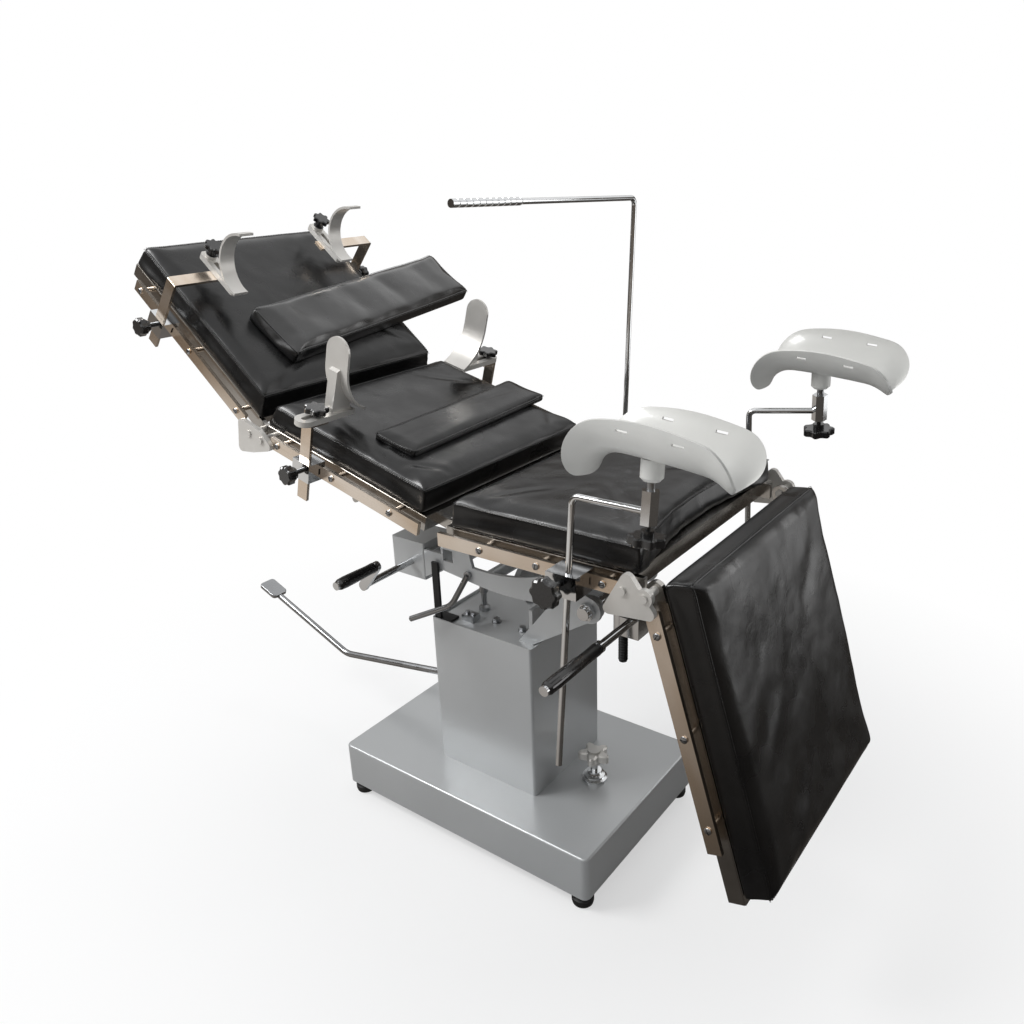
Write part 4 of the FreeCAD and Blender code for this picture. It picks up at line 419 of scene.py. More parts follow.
mixed_finish = {}
for side in ("near", "far"):
    for node, part, base in ((side + "_shoulder_blade", "head", cast_aluminium),
                             (side + "_side_post", "back", rail_steel["back"])):
        turn = (0, math.radians(LEANS[part]), 0)
        centre, radius, half_height = drum_round(loose_parts(node)[0], turn)
        mixed_finish[node] = two_finishes(node + "_finish", base, bakelite, centre, radius,
                                          half_height, turn)
        print(node, "star knob: radius", round(1000 * radius, 1), "mm")
    hinge = {joint["name"]: joint for joint in frame["joints"]}[side + "_shell_turn"]
    axis = Vector(hinge["axis"])
    turn = (-math.asin(axis.y), 0, 0)
    neck = Vector(hinge["pos_m"]) + NECK_UP * axis
    mixed_finish[side + "_holder_shell"] = two_finishes(side + "_shell_finish", shell_plastic,
                                                        turned_steel, neck, NECK_RADIUS,
                                                        NECK_HALF, turn)
lock_low, lock_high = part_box("floor_lock_knob")
star_centre = (lock_low + lock_high) / 2
star_centre.z = lock_high.z - STAR_DROP
mixed_finish["floor_lock_knob"] = two_finishes("lock_star_finish", chrome, cast_aluminium,
                                               star_centre, STAR_RADIUS, STAR_HALF, (0, 0, 0))

# %% [markdown]
# ## Give each solid its finish
#
# The record names a material slot for every node, and most nodes take the finish of their slot.
# A short list then names those that differ: rails take the scratches of their own section, and
# the castings are aluminium even where the slot says plated.

# %% Assign the finishes
BY_SLOT = {"grey_paint": silver_enamel, "frame_paint": frame_steel, "dark_steel": black_steel,
           "black_leatherette": leather, "stainless": rail_steel["seat"], "chrome": chrome,
           "cast_aluminium": cast_aluminium, "painted_tube": turned_steel,
           "black_bakelite": bakelite, "black_screw": black_steel,
           "shell_plastic": shell_plastic, "black_rubber": rubber}
OWN = {"back_rails": rail_steel["back"], "head_rails": rail_steel["head"],
       "leg_rails": rail_steel["leg"], "near_shoulder_bar": rail_steel["head"],
       "far_shoulder_bar": rail_steel["head"], "leg_hinge_castings": cast_aluminium,
       "head_hinge_castings": cast_aluminium, "head_fittings": turned_steel,
       "side_tilt_lever": turned_steel, **mixed_finish}
slots = {part["node"]: part["material_slot"] for part in frame["record"]["subparts"]}
for name, solid in frame["nodes"].items():
    finish = OWN.get(name, BY_SLOT[slots[name]])
    solid.data.materials.clear()
    solid.data.materials.append(finish)
print("finished solids:", len(slots))

# %% [markdown]
# ## The six pads
#
# A pad is a foam block with a sewn cover: a top panel, a boxing strip round the sides and piping
# between them. The foam pushes the cover out, so the faces swell and the edges pull in. Cloth
# with air pressure does just that. Each block is drawn flat in the plane of its section, a
# little smaller than the solid it stands for, remeshed into even faces, blown up by the
# simulation, and then turned into place. Its base is pinned, because it rests on a steel sheet.

# %% Places of the sections
HINGE_Z = 0.744
PAD_LOW = 0.0163
PAD_THICK = 0.056
BACK_HINGE = Vector((0.040, 0, HINGE_Z))
BACK_LENGTH = 0.479


def place(part):
    # The matrix from a section's own (length, width, height) to the whole table.
    turn = Matrix.Rotation(math.radians(LEANS[part]), 4, "Y")
    start = {"seat": Vector((0, 0, HINGE_Z)), "back": BACK_HINGE,
             "leg": Vector((0.470, 0, HINGE_Z))}.get(part)
    if part == "head":
        lean = math.radians(LEANS["back"])
        start = BACK_HINGE + BACK_LENGTH * Vector((-math.cos(lean), 0, math.sin(lean)))
    return Matrix.Translation(start) @ turn


for part in LEANS:
    print(part, "section starts at", [round(v, 3) for v in place(part).translation])

# %% [markdown]
# ## Cutting a block
#
# The block is an outline in the section's plane, drawn once for the bottom and once for the top,
# because two pads lean back at the hinge. The top edge is rounded by a bevel.

# %% Block
SHRINK = 0.003
VOXEL = 0.006


def block(name, bottom, top, low, high, edge):
    mesh = bpy.data.meshes.new(name)
    bm = bmesh.new()
    rings = [[bm.verts.new((x, y, low)) for x, y in bottom],
             [bm.verts.new((x, y, high)) for x, y in top]]
    bm.faces.new(list(reversed(rings[0])))
    bm.faces.new(rings[1])
    count = len(bottom)
    for i in range(count):
        j = (i + 1) % count
        bm.faces.new((rings[0][i], rings[0][j], rings[1][j], rings[1][i]))
    rim = [e for e in bm.edges if all(v.co.z > high - 1e-6 for v in e.verts)]
    bmesh.ops.bevel(bm, geom=rim, offset=edge, segments=4, affect="EDGES", profile=0.5)
    bmesh.ops.recalc_face_normals(bm, faces=bm.faces)
    bm.to_mesh(mesh)
    bm.free()
    made = bpy.data.objects.new(name, mesh)
    bpy.context.collection.objects.link(made)
    return made


# %% [markdown]
# ## Blowing the block up
#
# A remesh replaces the few big faces with even squares, which cloth needs to bend evenly. The
# cloth is a stiff cover with air behind it and no weight, and twenty frames are enough for it to
# come to rest. No point may move further than the cap, so that the pad keeps clear of its
# neighbours, and a light smoothing takes out the small buckles that a real cover doesn't have.

# %% Simulation
PUFF = 3.0
FRAMES = 20
CALM = 10
COVER = {"quality": 4, "mass": 0.35, "tension_stiffness": 18, "compression_stiffness": 18,
         "bending_stiffness": 0.6, "use_pressure": True, "uniform_pressure_force": PUFF}


def settle(obj):
    # Bakes the modifiers of an object into its mesh.
    graph = bpy.context.evaluated_depsgraph_get()
    mesh = bpy.data.meshes.new_from_object(obj.evaluated_get(graph))
    obj.modifiers.clear()
    old = obj.data
    obj.data = mesh
    bpy.data.meshes.remove(old)


def puff(obj, low, cap, voxel):
    remesh = obj.modifiers.new("even", "REMESH")
    remesh.mode = "VOXEL"
    remesh.voxel_size = voxel
    settle(obj)
    start = [v.co.copy() for v in obj.data.vertices]
    pinned = obj.vertex_groups.new(name="base")
    pinned.add([v.index for v in obj.data.vertices if v.co.z < low + 0.6 * voxel], 1.0, "REPLACE")
    cloth = obj.modifiers.new("cover", "CLOTH")
    for key, value in COVER.items():
        setattr(cloth.settings, key, value)
    cloth.settings.vertex_group_mass = pinned.name
    cloth.settings.effector_weights.gravity = 0
    cloth.collision_settings.use_collision = False
    cloth.point_cache.frame_start = 1
    cloth.point_cache.frame_end = FRAMES
    scene = bpy.context.scene
    for step in range(1, FRAMES + 1):
        scene.frame_set(step)
    settle(obj)
    scene.frame_set(1)
    for vertex, home in zip(obj.data.vertices, start):
        move = vertex.co - home
        if move.length > cap:
            vertex.co = home + move * (cap / move.length)
    calm = obj.modifiers.new("calm", "SMOOTH")
    calm.factor = 0.5
    calm.iterations = CALM
    settle(obj)
    obj.vertex_groups.clear()


# %% [markdown]
# ## Folds in the cover
#
# A cover that is a little too large lies in folds. They run in from where something presses the
# pad: a corner, a clamp, another pad on top. Each fold here is a straight line in the section's
# plane with a width and a depth; the cover dips along it and rises beside it, and it fades out
# at both ends. Slow noise keeps two folds from looking alike.

# %% Folds
def fold_height(x, y, folds):
    total = 0.0
    for (ax, ay), (bx, by), width, depth in folds:
        length = math.hypot(bx - ax, by - ay)
        along = ((x - ax) * (bx - ax) + (y - ay) * (by - ay)) / length ** 2
        if not 0 < along < 1:
            continue
        off = ((x - ax) * (by - ay) - (y - ay) * (bx - ax)) / length
        off += 0.35 * width * noise.noise((x * 22, y * 22, length * 40))
        k = off / width
        ridge = math.exp(-k * k) - 0.6 * math.exp(-((k - 1.3) ** 2))
        ridge -= 0.3 * math.exp(-((k + 1.5) ** 2))
        total += depth * ridge * math.sin(math.pi * along) ** 0.7
    return total


def crease(obj, folds, high, ripple):
    for vertex in obj.data.vertices:
        x, y, z = vertex.co
        share = max(0.0, min(1.0, (z - high + 0.03) / 0.03))
        wave = noise.fractal((x * 9, y * 9, z * 9 + 5), 0.8, 2.0, 3)
        vertex.co.z += share * (ripple * wave - fold_height(x, y, folds))


# %% [markdown]
# ## Piping and stitches
#
# The cord that edges a cover is called piping. It follows the rim of the top panel, and a row of
# stitches lies beside it, 5 mm apart. Both follow one curve, so a Geometry Nodes tree makes
# them: the curve becomes a round bead, and short rods are set on even points along it. The
# tree's inputs are the bead's radius, the spacing and the stitch's size.

# %% The piping tree
def piping_tree():
    tree = bpy.data.node_groups.new("piping_and_stitches", "GeometryNodeTree")
    face = tree.interface
    face.new_socket("Geometry", in_out="INPUT", socket_type="NodeSocketGeometry")
    for label, value in (("Bead radius", 0.0022), ("Stitch spacing", 0.005),
                         ("Stitch length", 0.0032), ("Stitch radius", 0.0006), ("Offset", 0.0038)):
        socket = face.new_socket(label, in_out="INPUT", socket_type="NodeSocketFloat")
        socket.default_value = value
    face.new_socket("Material", in_out="INPUT", socket_type="NodeSocketMaterial")
    face.new_socket("Geometry", in_out="OUTPUT", socket_type="NodeSocketGeometry")
    given = add(tree, "NodeGroupInput").outputs
    ring = add(tree, "GeometryNodeCurvePrimitiveCircle", {"Resolution": 8,
                                                          "Radius": given["Bead radius"]})
    bead = add(tree, "GeometryNodeCurveToMesh", {"Curve": given["Geometry"],
                                                 "Profile Curve": ring.outputs["Curve"]})
    points = add(tree, "GeometryNodeCurveToPoints", {"Curve": given["Geometry"],
                                                     "Length": given["Stitch spacing"]},
                 mode="LENGTH")
    stitch = add(tree, "GeometryNodeMeshCylinder", {"Vertices": 6, "Radius": given["Stitch radius"],
                                                    "Depth": given["Stitch length"]})
    rows = add(tree, "GeometryNodeInstanceOnPoints", {"Points": points.outputs["Points"],
                                                      "Instance": stitch.outputs["Mesh"],
                                                      "Rotation": points.outputs["Rotation"]})
    shift = add(tree, "ShaderNodeCombineXYZ", {"X": given["Offset"]})
    moved = add(tree, "GeometryNodeTranslateInstances", {"Instances": rows.outputs["Instances"],
                                                         "Translation": shift.outputs["Vector"]})
    both = add(tree, "GeometryNodeJoinGeometry")
    tree.links.new(bead.outputs["Mesh"], both.inputs["Geometry"])
    tree.links.new(moved.outputs["Instances"], both.inputs["Geometry"])
    real = add(tree, "GeometryNodeRealizeInstances", {"Geometry": both.outputs["Geometry"]})
    painted = add(tree, "GeometryNodeSetMaterial", {"Geometry": real.outputs["Geometry"],
                                                    "Material": given["Material"]})
    add(tree, "NodeGroupOutput", {"Geometry": painted.outputs["Geometry"]})
    return tree


def run_tree(obj, tree, values):
    # Gives an object the tree, sets its inputs by their identifiers and bakes the result.
    modifier = obj.modifiers.new("made", "NODES")
    modifier.node_group = tree
    for item in tree.interface.items_tree:
        if item.in_out == "INPUT" and item.name in values:
            modifier[item.identifier] = values[item.name]
    graph = bpy.context.evaluated_depsgraph_get()
    mesh = bpy.data.meshes.new_from_object(obj.evaluated_get(graph))
    made = bpy.data.objects.new(obj.name + "_made", mesh)
    bpy.context.collection.objects.link(made)
    bpy.data.objects.remove(obj)
    return made


piping = piping_tree()
print("piping tree nodes:", len(piping.nodes))


# %% [markdown]
# ## The line of the piping
#
# The rim of the swollen pad is no longer where the block's edge was. The line starts on the
# block's edge, and each of its points moves to the nearest place on the pad, found with a BVH
# tree, which answers such questions quickly. A closed smooth curve then runs through them.

# %% Piping line on a pad
def rim_line(name, pad, outline, height, step=0.012):
    tree = BVHTree.FromObject(pad, bpy.context.evaluated_depsgraph_get())
    points = []
    for (ax, ay), (bx, by) in zip(outline, outline[1:] + outline[:1]):
        length = math.hypot(bx - ax, by - ay)
        count = max(1, round(length / step))
        for k in range(count):
            share = k / count
            guess = Vector((ax + (bx - ax) * share, ay + (by - ay) * share, height))
            points.append(tree.find_nearest(guess)[0])
    smooth = []
    for i, p in enumerate(points):
        smooth.append((points[i - 1] + p * 2 + points[(i + 1) % len(points)]) / 4)
    data = bpy.data.curves.new(name, "CURVE")
    data.dimensions = "3D"
    line = data.splines.new("POLY")
    line.points.add(len(smooth) - 1)
    for target, p in zip(line.points, smooth):
        target.co = (*p, 1)
    line.use_cyclic_u = True
    made = bpy.data.objects.new(name, data)
    bpy.context.collection.objects.link(made)
    return made


def grown(outline, by):
    # Moves an outline's corners away from its middle, along both axes.
    cx = (min(p[0] for p in outline) + max(p[0] for p in outline)) / 2
    cy = (min(p[1] for p in outline) + max(p[1] for p in outline)) / 2
    return [(x + math.copysign(by, x - cx), y + math.copysign(by, y - cy)) for x, y in outline]


# %% [markdown]
# ## Sewing one pad
#
# All steps come together here: cut the block, blow it up, fold its cover, lay the piping round
# its rim and turn both into place on the table. The pad then stands for its solid of the frame,
# which is hidden.

# %% One pad with its piping
def sew(node, body, matrix, bottom, top, low, high, edge, cap, folds, ripple=0.0015,
        voxel=VOXEL, cover=leather):
    small_bottom = grown(bottom, -SHRINK)
    small_top = grown(top, -SHRINK)
    pad = block(node + "_cushion", small_bottom, small_top, low, high - SHRINK, edge)
    puff(pad, low, cap, voxel)
    crease(pad, folds, high, ripple)
    pad.data.materials.clear()
    pad.data.materials.append(cover)
    pad.data.polygons.foreach_set("use_smooth", [True] * len(pad.data.polygons))
    line = rim_line(node + "_rim", pad, grown(small_top, -edge * 0.25), high - SHRINK - edge * 0.3)
    piped = run_tree(line, piping, {"Material": cover})
    piped.name = node + "_piping"
    for piece in (pad, piped):
        piece.data.transform(matrix)
        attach(piece, body)
    subdivide = pad.modifiers.new("fine", "SUBSURF")
    subdivide.levels = subdivide.render_levels = 1
    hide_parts(node)
    print(node, "faces", len(pad.data.polygons), "piping", len(piped.data.polygons))


def rectangle(x0, x1, half):
    return [(x0, -half), (x1, -half), (x1, half), (x0, half)]


# %% [markdown]
# ## Sewing the four section pads
#
# The sizes repeat those of the solids. The seat pad's foot edge is hollow, an arc that is 30 mm
# deep, and the back and head pads lean back by 19 degrees where they meet, so that the table
# can fold there.

# %% Section pads
HALF = 0.250
EDGE = 0.010
CAP = 0.006
TOP = PAD_LOW + PAD_THICK
LEAN_BACK = PAD_THICK * math.tan(math.radians(19))


def seat_outline():
    # The foot edge is an arc of 12 steps between the two corners.
    half_chord, depth, foot = 0.220, 0.030, 0.444
    radius = (half_chord ** 2 + depth ** 2) / (2 * depth)
    centre = foot - depth + radius
    arc = []
    for k in range(13):
        y = -half_chord + 2 * half_chord * k / 12
        arc.append((centre - math.sqrt(radius ** 2 - y ** 2), y))
    return [(0.072, -HALF), (foot, -HALF)] + arc + [(foot, HALF), (0.072, HALF)]


# A fold is its start, its end, its width and its depth.
seat_folds = [((0.40, -0.20), (0.27, -0.05), 0.010, 0.0022),
              ((0.42, 0.16), (0.30, 0.05), 0.012, 0.0020),
              ((0.12, -0.23), (0.20, -0.12), 0.009, 0.0022),
              ((0.10, 0.22), (0.20, 0.10), 0.011, 0.0020)]
sew("seat_pad", "seat", place("seat"), seat_outline(), seat_outline(), PAD_LOW, TOP, EDGE, CAP,
    seat_folds)

back_folds = [((-0.16, -0.235), (-0.28, -0.12), 0.010, 0.0030),
              ((-0.15, -0.24), (-0.24, -0.20), 0.008, 0.0026),
              ((-0.17, -0.235), (-0.34, -0.20), 0.010, 0.0024),
              ((-0.13, -0.23), (-0.05, -0.16), 0.009, 0.0024),
              ((-0.12, 0.23), (-0.05, 0.15), 0.010, 0.0020),
              ((-0.40, 0.10), (-0.30, 0.20), 0.012, 0.0018)]
back_bottom = rectangle(-0.465, -0.042, HALF)
back_top = rectangle(-0.465 + LEAN_BACK, -0.042, HALF)
sew("back_pad", "back", place("back"), back_bottom, back_top, PAD_LOW, TOP, EDGE, CAP, back_folds)

head_folds = [((-0.03, -0.22), (-0.10, -0.10), 0.010, 0.0022),
              ((-0.44, 0.20), (-0.36, 0.08), 0.012, 0.0020),
              ((-0.06, 0.22), (-0.16, 0.12), 0.010, 0.0020)]
head_bottom = rectangle(-0.471, -0.014, HALF)
head_top = rectangle(-0.471, -0.014 - LEAN_BACK, HALF)
sew("head_pad", "head", place("head"), head_bottom, head_top, PAD_LOW, TOP, EDGE, CAP, head_folds)

leg_folds = [((0.05, 0.20), (0.16, 0.06), 0.026, 0.0020),
             ((0.50, 0.20), (0.40, 0.06), 0.030, 0.0022),
             ((0.49, -0.18), (0.38, -0.06), 0.026, 0.0020),
             ((0.30, -0.20), (0.22, -0.08), 0.024, 0.0020)]
leg_rect = rectangle(-0.008, 0.526, HALF)
sew("leg_pad", "leg", place("leg"), leg_rect, leg_rect, PAD_LOW, TOP, EDGE, CAP, leg_folds)

# %% [markdown]
# ## The two loose pads
#
# The kidney pad is thin and firm and lies a little askew on its lifting plate. The long arm-board
# pad lies across the head section, softer than the rest, and its loose cover has deep folds
# across it that catch the light as broad glossy bands.

# %% Kidney pad and arm-board pad
GAP = 0.0003
KIDNEY_THICK = 0.021
ARM_THICK = 0.040


def askew(part, x, y, degrees):
    shift = Matrix.Translation((x, y, 0)) @ Matrix.Rotation(math.radians(degrees), 4, "Z")
    return place(part) @ shift


kidney_folds = [((0.0, -0.20), (0.01, -0.05), 0.007, 0.0010),
                ((-0.02, 0.02), (0.0, 0.19), 0.008, 0.0010)]
kidney_rect = rectangle(-0.047, 0.047, 0.223)
sew("kidney_pad", "kidney_bridge", askew("back", -0.186, 0.030, 3.0), kidney_rect, kidney_rect,
    TOP + GAP, TOP + GAP + KIDNEY_THICK, 0.006, 0.003, kidney_folds, ripple=0.0006, voxel=0.004)

arm_folds = []
for y, depth in ((-0.190, 0.0026), (-0.060, 0.0034), (0.075, 0.0036), (0.210, 0.0022)):
    arm_folds.append(((-0.068, y - 0.035), (0.066, y + 0.02), 0.030, depth))
arm_rect = rectangle(-0.070, 0.070, 0.313)
sew("arm_board_pad", "head", askew("head", -0.190, 0.166, 6.5), arm_rect, arm_rect, TOP + GAP,
    TOP + GAP + ARM_THICK, 0.009, CAP, arm_folds, voxel=0.005, cover=glossy_leather)

# %% [markdown]
# ## Screw heads along the rails
#
# Each rail is held by round-headed screws with a slot. They repeat along four pairs of rails, so
# a Geometry Nodes tree sets one head on each point of a small point cloud. The head is a flat
# dome made from a squashed sphere, and its slot is a thin dark bar sunk into it: painted shade
# for the groove, in blackened steel. The points lie on the rail's outer face, and a rotation
# turns the heads to face outwards.

# %% Screw tree
def screw_tree():
    tree = bpy.data.node_groups.new("slotted_heads", "GeometryNodeTree")
    face = tree.interface
    face.new_socket("Geometry", in_out="INPUT", socket_type="NodeSocketGeometry")
    for label, value in (("Head radius", 0.0062), ("Head height", 0.0022),
                         ("Slot width", 0.0013)):
        face.new_socket(label, in_out="INPUT", socket_type="NodeSocketFloat").default_value = value
    face.new_socket("Turn", in_out="INPUT", socket_type="NodeSocketVector")
    face.new_socket("Steel", in_out="INPUT", socket_type="NodeSocketMaterial")
    face.new_socket("Shadow", in_out="INPUT", socket_type="NodeSocketMaterial")
    face.new_socket("Geometry", in_out="OUTPUT", socket_type="NodeSocketGeometry")
    given = add(tree, "NodeGroupInput").outputs
    dome = add(tree, "GeometryNodeMeshUVSphere", {"Segments": 20, "Rings": 10, "Radius": 1.0})
    flat = add(tree, "ShaderNodeCombineXYZ", {"X": given["Head radius"], "Y": given["Head radius"],
                                              "Z": given["Head height"]})
    head = add(tree, "GeometryNodeTransform", {"Geometry": dome.outputs["Mesh"],
                                               "Scale": flat.outputs["Vector"]})
    steel = add(tree, "GeometryNodeSetMaterial", {"Geometry": head.outputs["Geometry"],
                                                  "Material": given["Steel"]})
    long = add(tree, "ShaderNodeMath", {0: given["Head radius"], 1: 1.7}, operation="MULTIPLY")
    bar_size = add(tree, "ShaderNodeCombineXYZ", {"X": long.outputs["Value"],
                                                  "Y": given["Slot width"], "Z": 0.0012})
    bar = add(tree, "GeometryNodeMeshCube", {"Size": bar_size.outputs["Vector"]})
    lift = add(tree, "ShaderNodeMath", {0: given["Head height"], 1: 0.82}, operation="MULTIPLY")
    up = add(tree, "ShaderNodeCombineXYZ", {"Z": lift.outputs["Value"]})
    slot = add(tree, "GeometryNodeTransform", {"Geometry": bar.outputs["Mesh"],
                                               "Translation": up.outputs["Vector"]})
    # Painted shade: the slot is a dark steel bar where the groove would lie in shade.
    dark = add(tree, "GeometryNodeSetMaterial", {"Geometry": slot.outputs["Geometry"],
                                                 "Material": given["Shadow"]})
    whole = add(tree, "GeometryNodeJoinGeometry")
    tree.links.new(steel.outputs["Geometry"], whole.inputs["Geometry"])
    tree.links.new(dark.outputs["Geometry"], whole.inputs["Geometry"])
    placed = add(tree, "GeometryNodeInstanceOnPoints", {"Points": given["Geometry"],
                                                        "Instance": whole.outputs["Geometry"],
                                                        "Rotation": given["Turn"]})
    spin = add(tree, "FunctionNodeRandomValue", {2: 0.0, 3: 3.1, "Seed": 7}, data_type="FLOAT")
    spin_axis = add(tree, "ShaderNodeCombineXYZ", {"Z": spin.outputs[1]})
    spun = add(tree, "GeometryNodeRotateInstances", {"Instances": placed.outputs["Instances"],
                                                     "Rotation": spin_axis.outputs["Vector"]})
    real = add(tree, "GeometryNodeRealizeInstances", {"Geometry": spun.outputs["Instances"]})
    add(tree, "NodeGroupOutput", {"Geometry": real.outputs["Geometry"]})
    return tree


# %% [markdown]
# ## Rows of screws
#
# The screws stand where they stand in the photograph, at three places along each rail. A row is
# drawn on the section's own axis, 277 mm out from the middle, and then turned into place.

# %% Screw rows
RAIL_FACE = 0.277
SCREWS = {"seat": (0.153, 0.270, 0.394), "back": (-0.405, -0.250, -0.098),
          "head": (-0.412, -0.230, -0.060), "leg": (0.064, 0.234, 0.391)}
heads = screw_tree()


def screw_row(part, side):
    mesh = bpy.data.meshes.new(part + "_points")
    mesh.from_pydata([(x, side * RAIL_FACE, 0) for x in SCREWS[part]], [], [])
    points = bpy.data.objects.new(part + "_points", mesh)
    bpy.context.collection.objects.link(points)
    turn = (-side * math.pi / 2, 0, 0)
    made = run_tree(points, heads, {"Turn": turn, "Steel": turned_steel, "Shadow": black_steel})
    made.name = part + ("_far" if side > 0 else "_near") + "_screw_heads"
    made.data.transform(place(part))
    made.data.polygons.foreach_set("use_smooth", [True] * len(made.data.polygons))
    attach(made, part)


for part in SCREWS:
    for side in (-1, 1):
        screw_row(part, side)
print("screw heads:", 2 * sum(len(row) for row in SCREWS.values()))

# %% [markdown]
# ## Camera
#
# The camera stands where the photographer stood: above the foot end, on the near side, a little
# rolled. Its place was worked out from the corners of the base and the rails. Its three axes are
# written as the columns of a matrix, which is simpler to check than three angles.

# %% Camera
RIGHT = Vector((0.78988, 0.61162, -0.04486))
UP = Vector((-0.18846, 0.31171, 0.93130))
AHEAD = Vector((-0.58359, 0.72716, -0.36148))
STATION = Vector((1.0317, -1.3190, 1.3382))

camera = bpy.data.objects.new("camera", bpy.data.cameras.new("camera"))
bpy.context.collection.objects.link(camera)
axes = Matrix((RIGHT, UP, -AHEAD)).transposed().to_4x4()
camera.matrix_world = Matrix.Translation(STATION) @ axes
camera.data.sensor_width = 36.0
camera.data.lens = 31.08
camera.data.shift_x = 0.0154
camera.data.shift_y = 0.0016
camera.data.clip_start = 0.05
bpy.context.scene.camera = camera
print("camera looks down by", round(math.degrees(math.asin(-AHEAD.z)), 1), "degrees")

# %% [markdown]
# ## Floor
#
# The floor is plain and pale. Near the table it takes a soft shadow, and further out it fades to
# the white of the background, by the distance from the middle. White is shown only to the rays
# that look: the camera's, and those that metal or glass send on. The rays that light the table
# find a plain paper floor.

# %% Floor
def background_rays(tree):
    # 1 for the rays that should meet the white background: camera, mirror and glass rays.
    ray = add(tree, "ShaderNodeLightPath").outputs
    seen = add(tree, "ShaderNodeMath", {0: ray["Is Camera Ray"], 1: ray["Is Glossy Ray"]},
               operation="MAXIMUM")
    return add(tree, "ShaderNodeMath", {0: seen.outputs["Value"], 1: ray["Is Transmission Ray"]},
               operation="MAXIMUM").outputs["Value"]


def studio_floor():
    bpy.ops.mesh.primitive_plane_add(size=60)
    floor = bpy.context.object
    floor.name = "studio_floor"
    mat = bpy.data.materials.new("floor_paper")
    mat.use_nodes = True
    tree = mat.node_tree
    tree.nodes.clear()
    coords = add(tree, "ShaderNodeTexCoord")
    far = add(tree, "ShaderNodeVectorMath", {0: coords.outputs["Object"]}, operation="LENGTH")
    fade = ranged(tree, far.outputs["Value"], 0.55, 1.0, 0.5, 1.6)
    paper = add(tree, "ShaderNodeBsdfDiffuse", {"Color": linear("#e9e9e9")})
    glow = add(tree, "ShaderNodeEmission", {"Color": (1, 1, 1, 1), "Strength": 1.0})
    share = add(tree, "ShaderNodeMath", {0: background_rays(tree), 1: fade}, operation="MULTIPLY")
    mixed = add(tree, "ShaderNodeMixShader", {"Fac": share.outputs["Value"],
                                              1: paper.outputs["BSDF"],
                                              2: glow.outputs["Emission"]})
    add(tree, "ShaderNodeOutputMaterial", {"Surface": mixed.outputs["Shader"]})
    floor.data.materials.append(mat)
    floor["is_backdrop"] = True


studio_floor()
print("floor: fades to white between 0.5 and 1.6 m from the middle")

# %% [markdown]
# ## World
#
# The world is the same white to the rays that look. For the rays that light the table it is a
# gentle gradient of grey, brighter high on the left, where a window would be.

# %% World
def studio_world():
    world = bpy.data.worlds.new("studio")
    bpy.context.scene.world = world
    world.use_nodes = True
    tree = world.node_tree
    tree.nodes.clear()
    coords = add(tree, "ShaderNodeTexCoord")
    bright_side = add(tree, "ShaderNodeVectorMath", {0: coords.outputs["Generated"],
                                                     1: (-0.62, -0.35, 0.7)},
                      operation="DOT_PRODUCT")
    soft = two_tone(tree, ranged(tree, bright_side.outputs["Value"], 0.0, 1.0, -0.6, 0.9),
                    "#6a6b6d", "#c9cbcd")
    white = add(tree, "ShaderNodeMix", {"Factor": background_rays(tree), "A": soft,
                                        "B": (1, 1, 1, 1)}, data_type="RGBA")
    sky = add(tree, "ShaderNodeBackground", {"Color": white.outputs["Result"], "Strength": 1.0})
    add(tree, "ShaderNodeOutputWorld", {"Surface": sky.outputs["Background"]})


studio_world()
print("world:", bpy.context.scene.world.name)

# %% [markdown]
# ## What the mirrors see
#
# In a white room chrome turns white and black pads turn grey. So three glowing panels stand where
# only the reflections find them: painted reflections. A round curtain, dark at half height and
# paler above and below, paints the dark reflected line along the rods. A mat on the floor is dark
# towards the foot end, a painted dark reflection that keeps the leg pad black, and a white card
# behind the foot end paints a reflected sheen on its face. All three glow by their own colour.
# The camera, the lamps and the shadows pass through them.

# %% Curtain, mat and card
CARD = ((0.0, "#6f6f6f"), (0.45, "#b8b8b8"), (1.0, "#f4f4f4"))
CURTAIN = ((0.0, "#8f867d"), (0.2, "#6a625a"), (0.45, "#3d3833"), (0.7, "#6f6963"),
           (1.0, "#e9e9e9"))
FLOOR_MAT = ((0.0, "#4d4945"), (0.3, "#4d4945"), (0.5, "#a39c95"), (1.0, "#dcd8d3"))
RADIUS = 5.0
HEIGHT = 3.4
CARD_SIZE = (2.6, 1.2)
CARD_SPOT = Vector((2.7, 2.5, 0.62))
CARD_TARGET = Vector((0.5, 0, 0.5))
CARD_STRENGTH = 3.6


def ramp_over(tree, direction, low, high, stops):
    # Colours by the place along a direction in the cloth's own space, from low to high.
    coords = add(tree, "ShaderNodeTexCoord")
    along = add(tree, "ShaderNodeVectorMath", {0: coords.outputs["Object"], 1: direction},
                operation="DOT_PRODUCT")
    value = ranged(tree, along.outputs["Value"], 0.0, 1.0, low, high)
    ramp = add(tree, "ShaderNodeValToRGB", {"Fac": value})
    made = ramp.color_ramp.elements
    made[0].position, made[0].color = stops[0][0], linear(stops[0][1])
    made[1].position, made[1].color = stops[-1][0], linear(stops[-1][1])
    for position, colour in stops[1:-1]:
        made.new(position).color = linear(colour)
    return ramp.outputs["Color"]


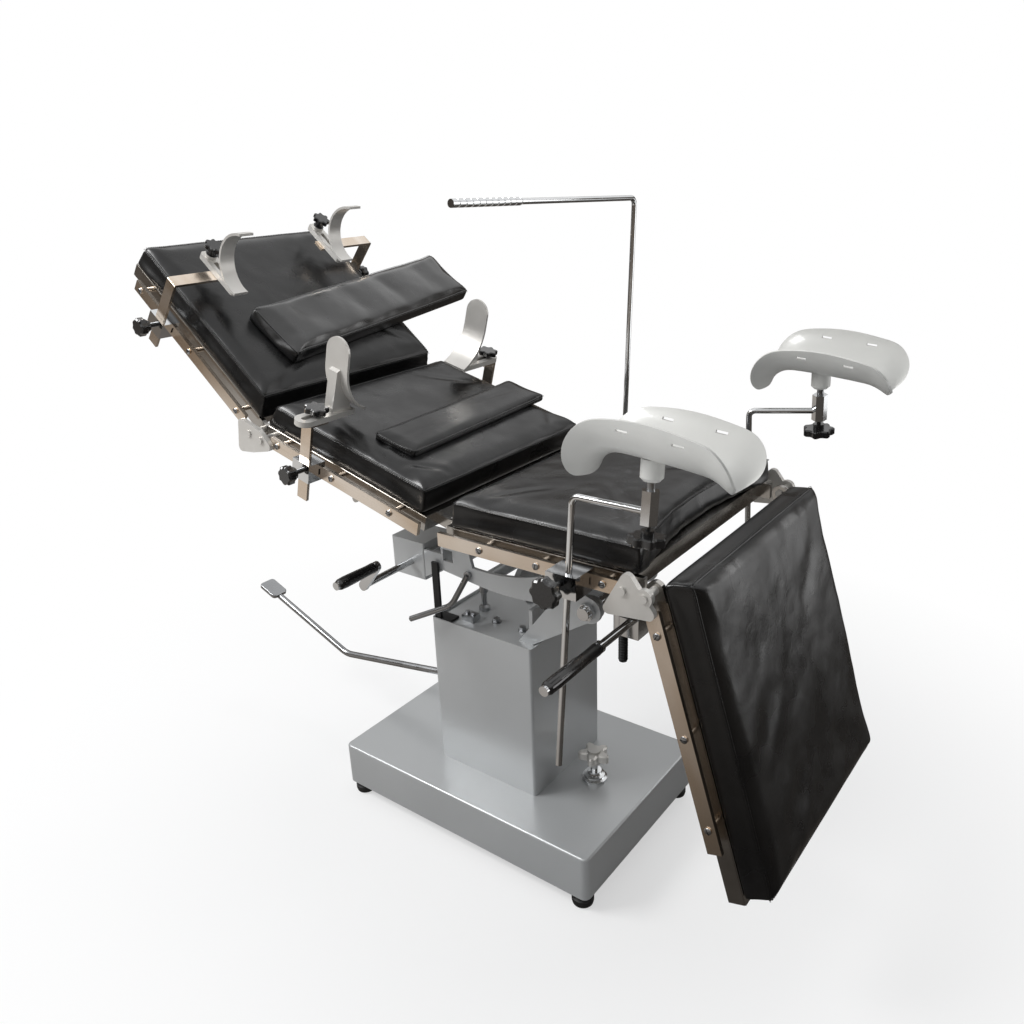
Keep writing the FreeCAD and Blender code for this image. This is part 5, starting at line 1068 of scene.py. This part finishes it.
def mirror_only(name, direction, low, high, stops, strength=1.0):
    # Makes the new mesh a glowing panel that only mirrors meet: a painted reflection in its own colour.
    cloth = bpy.context.object
    cloth.name = name
    mat = bpy.data.materials.new(name + "_cloth")
    mat.use_nodes = True
    tree = mat.node_tree
    tree.nodes.clear()
    glow = add(tree, "ShaderNodeEmission", {"Color": ramp_over(tree, direction, low, high, stops),
                                            "Strength": strength})
    add(tree, "ShaderNodeOutputMaterial", {"Surface": glow.outputs["Emission"]})
    cloth.data.materials.append(mat)
    cloth.visible_camera = False
    cloth.visible_diffuse = False
    cloth.visible_shadow = False
    cloth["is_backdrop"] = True


bpy.ops.mesh.primitive_cylinder_add(vertices=96, radius=RADIUS, depth=HEIGHT,
                                    end_fill_type="NOTHING", location=(0, 0, HEIGHT / 2))
mirror_only("reflection_curtain", (0, 0, 1), -HEIGHT / 2, HEIGHT / 2, CURTAIN)
bpy.ops.mesh.primitive_circle_add(vertices=96, radius=RADIUS, fill_type="NGON",
                                  location=(0, 0, 0.001))
mirror_only("reflection_mat", (-0.75, -0.66, 0), -1.0, 2.5, FLOOR_MAT)
bpy.ops.mesh.primitive_grid_add(x_subdivisions=2, y_subdivisions=2, size=1)
card = bpy.context.object
card.data.transform(Matrix.Diagonal((*CARD_SIZE, 1.0, 1.0)))
aim = (CARD_TARGET - CARD_SPOT).to_track_quat("Z", "Y")
card.matrix_world = Matrix.Translation(CARD_SPOT) @ aim.to_matrix().to_4x4()
mirror_only("reflection_card", (1, 0, 0), -CARD_SIZE[0] / 2, CARD_SIZE[0] / 2, CARD, CARD_STRENGTH)
print("studio cloths: a curtain of radius", RADIUS, "m, a mat and a card")

# %% [markdown]
# ## Lamps
#
# The lamps are large and soft, so that shadows have no hard edge: the main one high on the left
# of the camera, one behind the table, and a weak one from the right. Their powers are set so
# that a colour renders about as it is written. The lamp behind only lights the edges: mirror
# rays pass it by, or it would lie as a blot on the pads.

# %% Lamps and view
def lamp(name, spot, target, width, height, power):
    data = bpy.data.lights.new(name, "AREA")
    data.shape = "RECTANGLE"
    data.size = width
    data.size_y = height
    data.energy = power
    made = bpy.data.objects.new(name, data)
    bpy.context.collection.objects.link(made)
    aim = (Vector(target) - Vector(spot)).to_track_quat("-Z", "Y")
    made.matrix_world = Matrix.Translation(spot) @ aim.to_matrix().to_4x4()
    return made


lamp("key", (-1.9, -1.8, 2.9), (0, 0, 0.6), 1.5, 1.1, 95)
lamp("back", (-0.1, 1.4, 3.1), (0.0, 0, 0.8), 1.8, 1.0, 20).visible_glossy = False
lamp("fill", (2.4, 2.6, 1.6), (0.4, 0, 0.5), 1.0, 1.0, 10)
bpy.context.scene.view_settings.view_transform = "Standard"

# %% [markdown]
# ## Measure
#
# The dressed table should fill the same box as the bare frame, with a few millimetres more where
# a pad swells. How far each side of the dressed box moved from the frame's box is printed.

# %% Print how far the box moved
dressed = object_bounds()
grew = [round(1000 * (dressed[i][k] - cad_box[i][k]), 1) for i in (0, 1) for k in range(3)]
print("box moved by (mm):", grew)
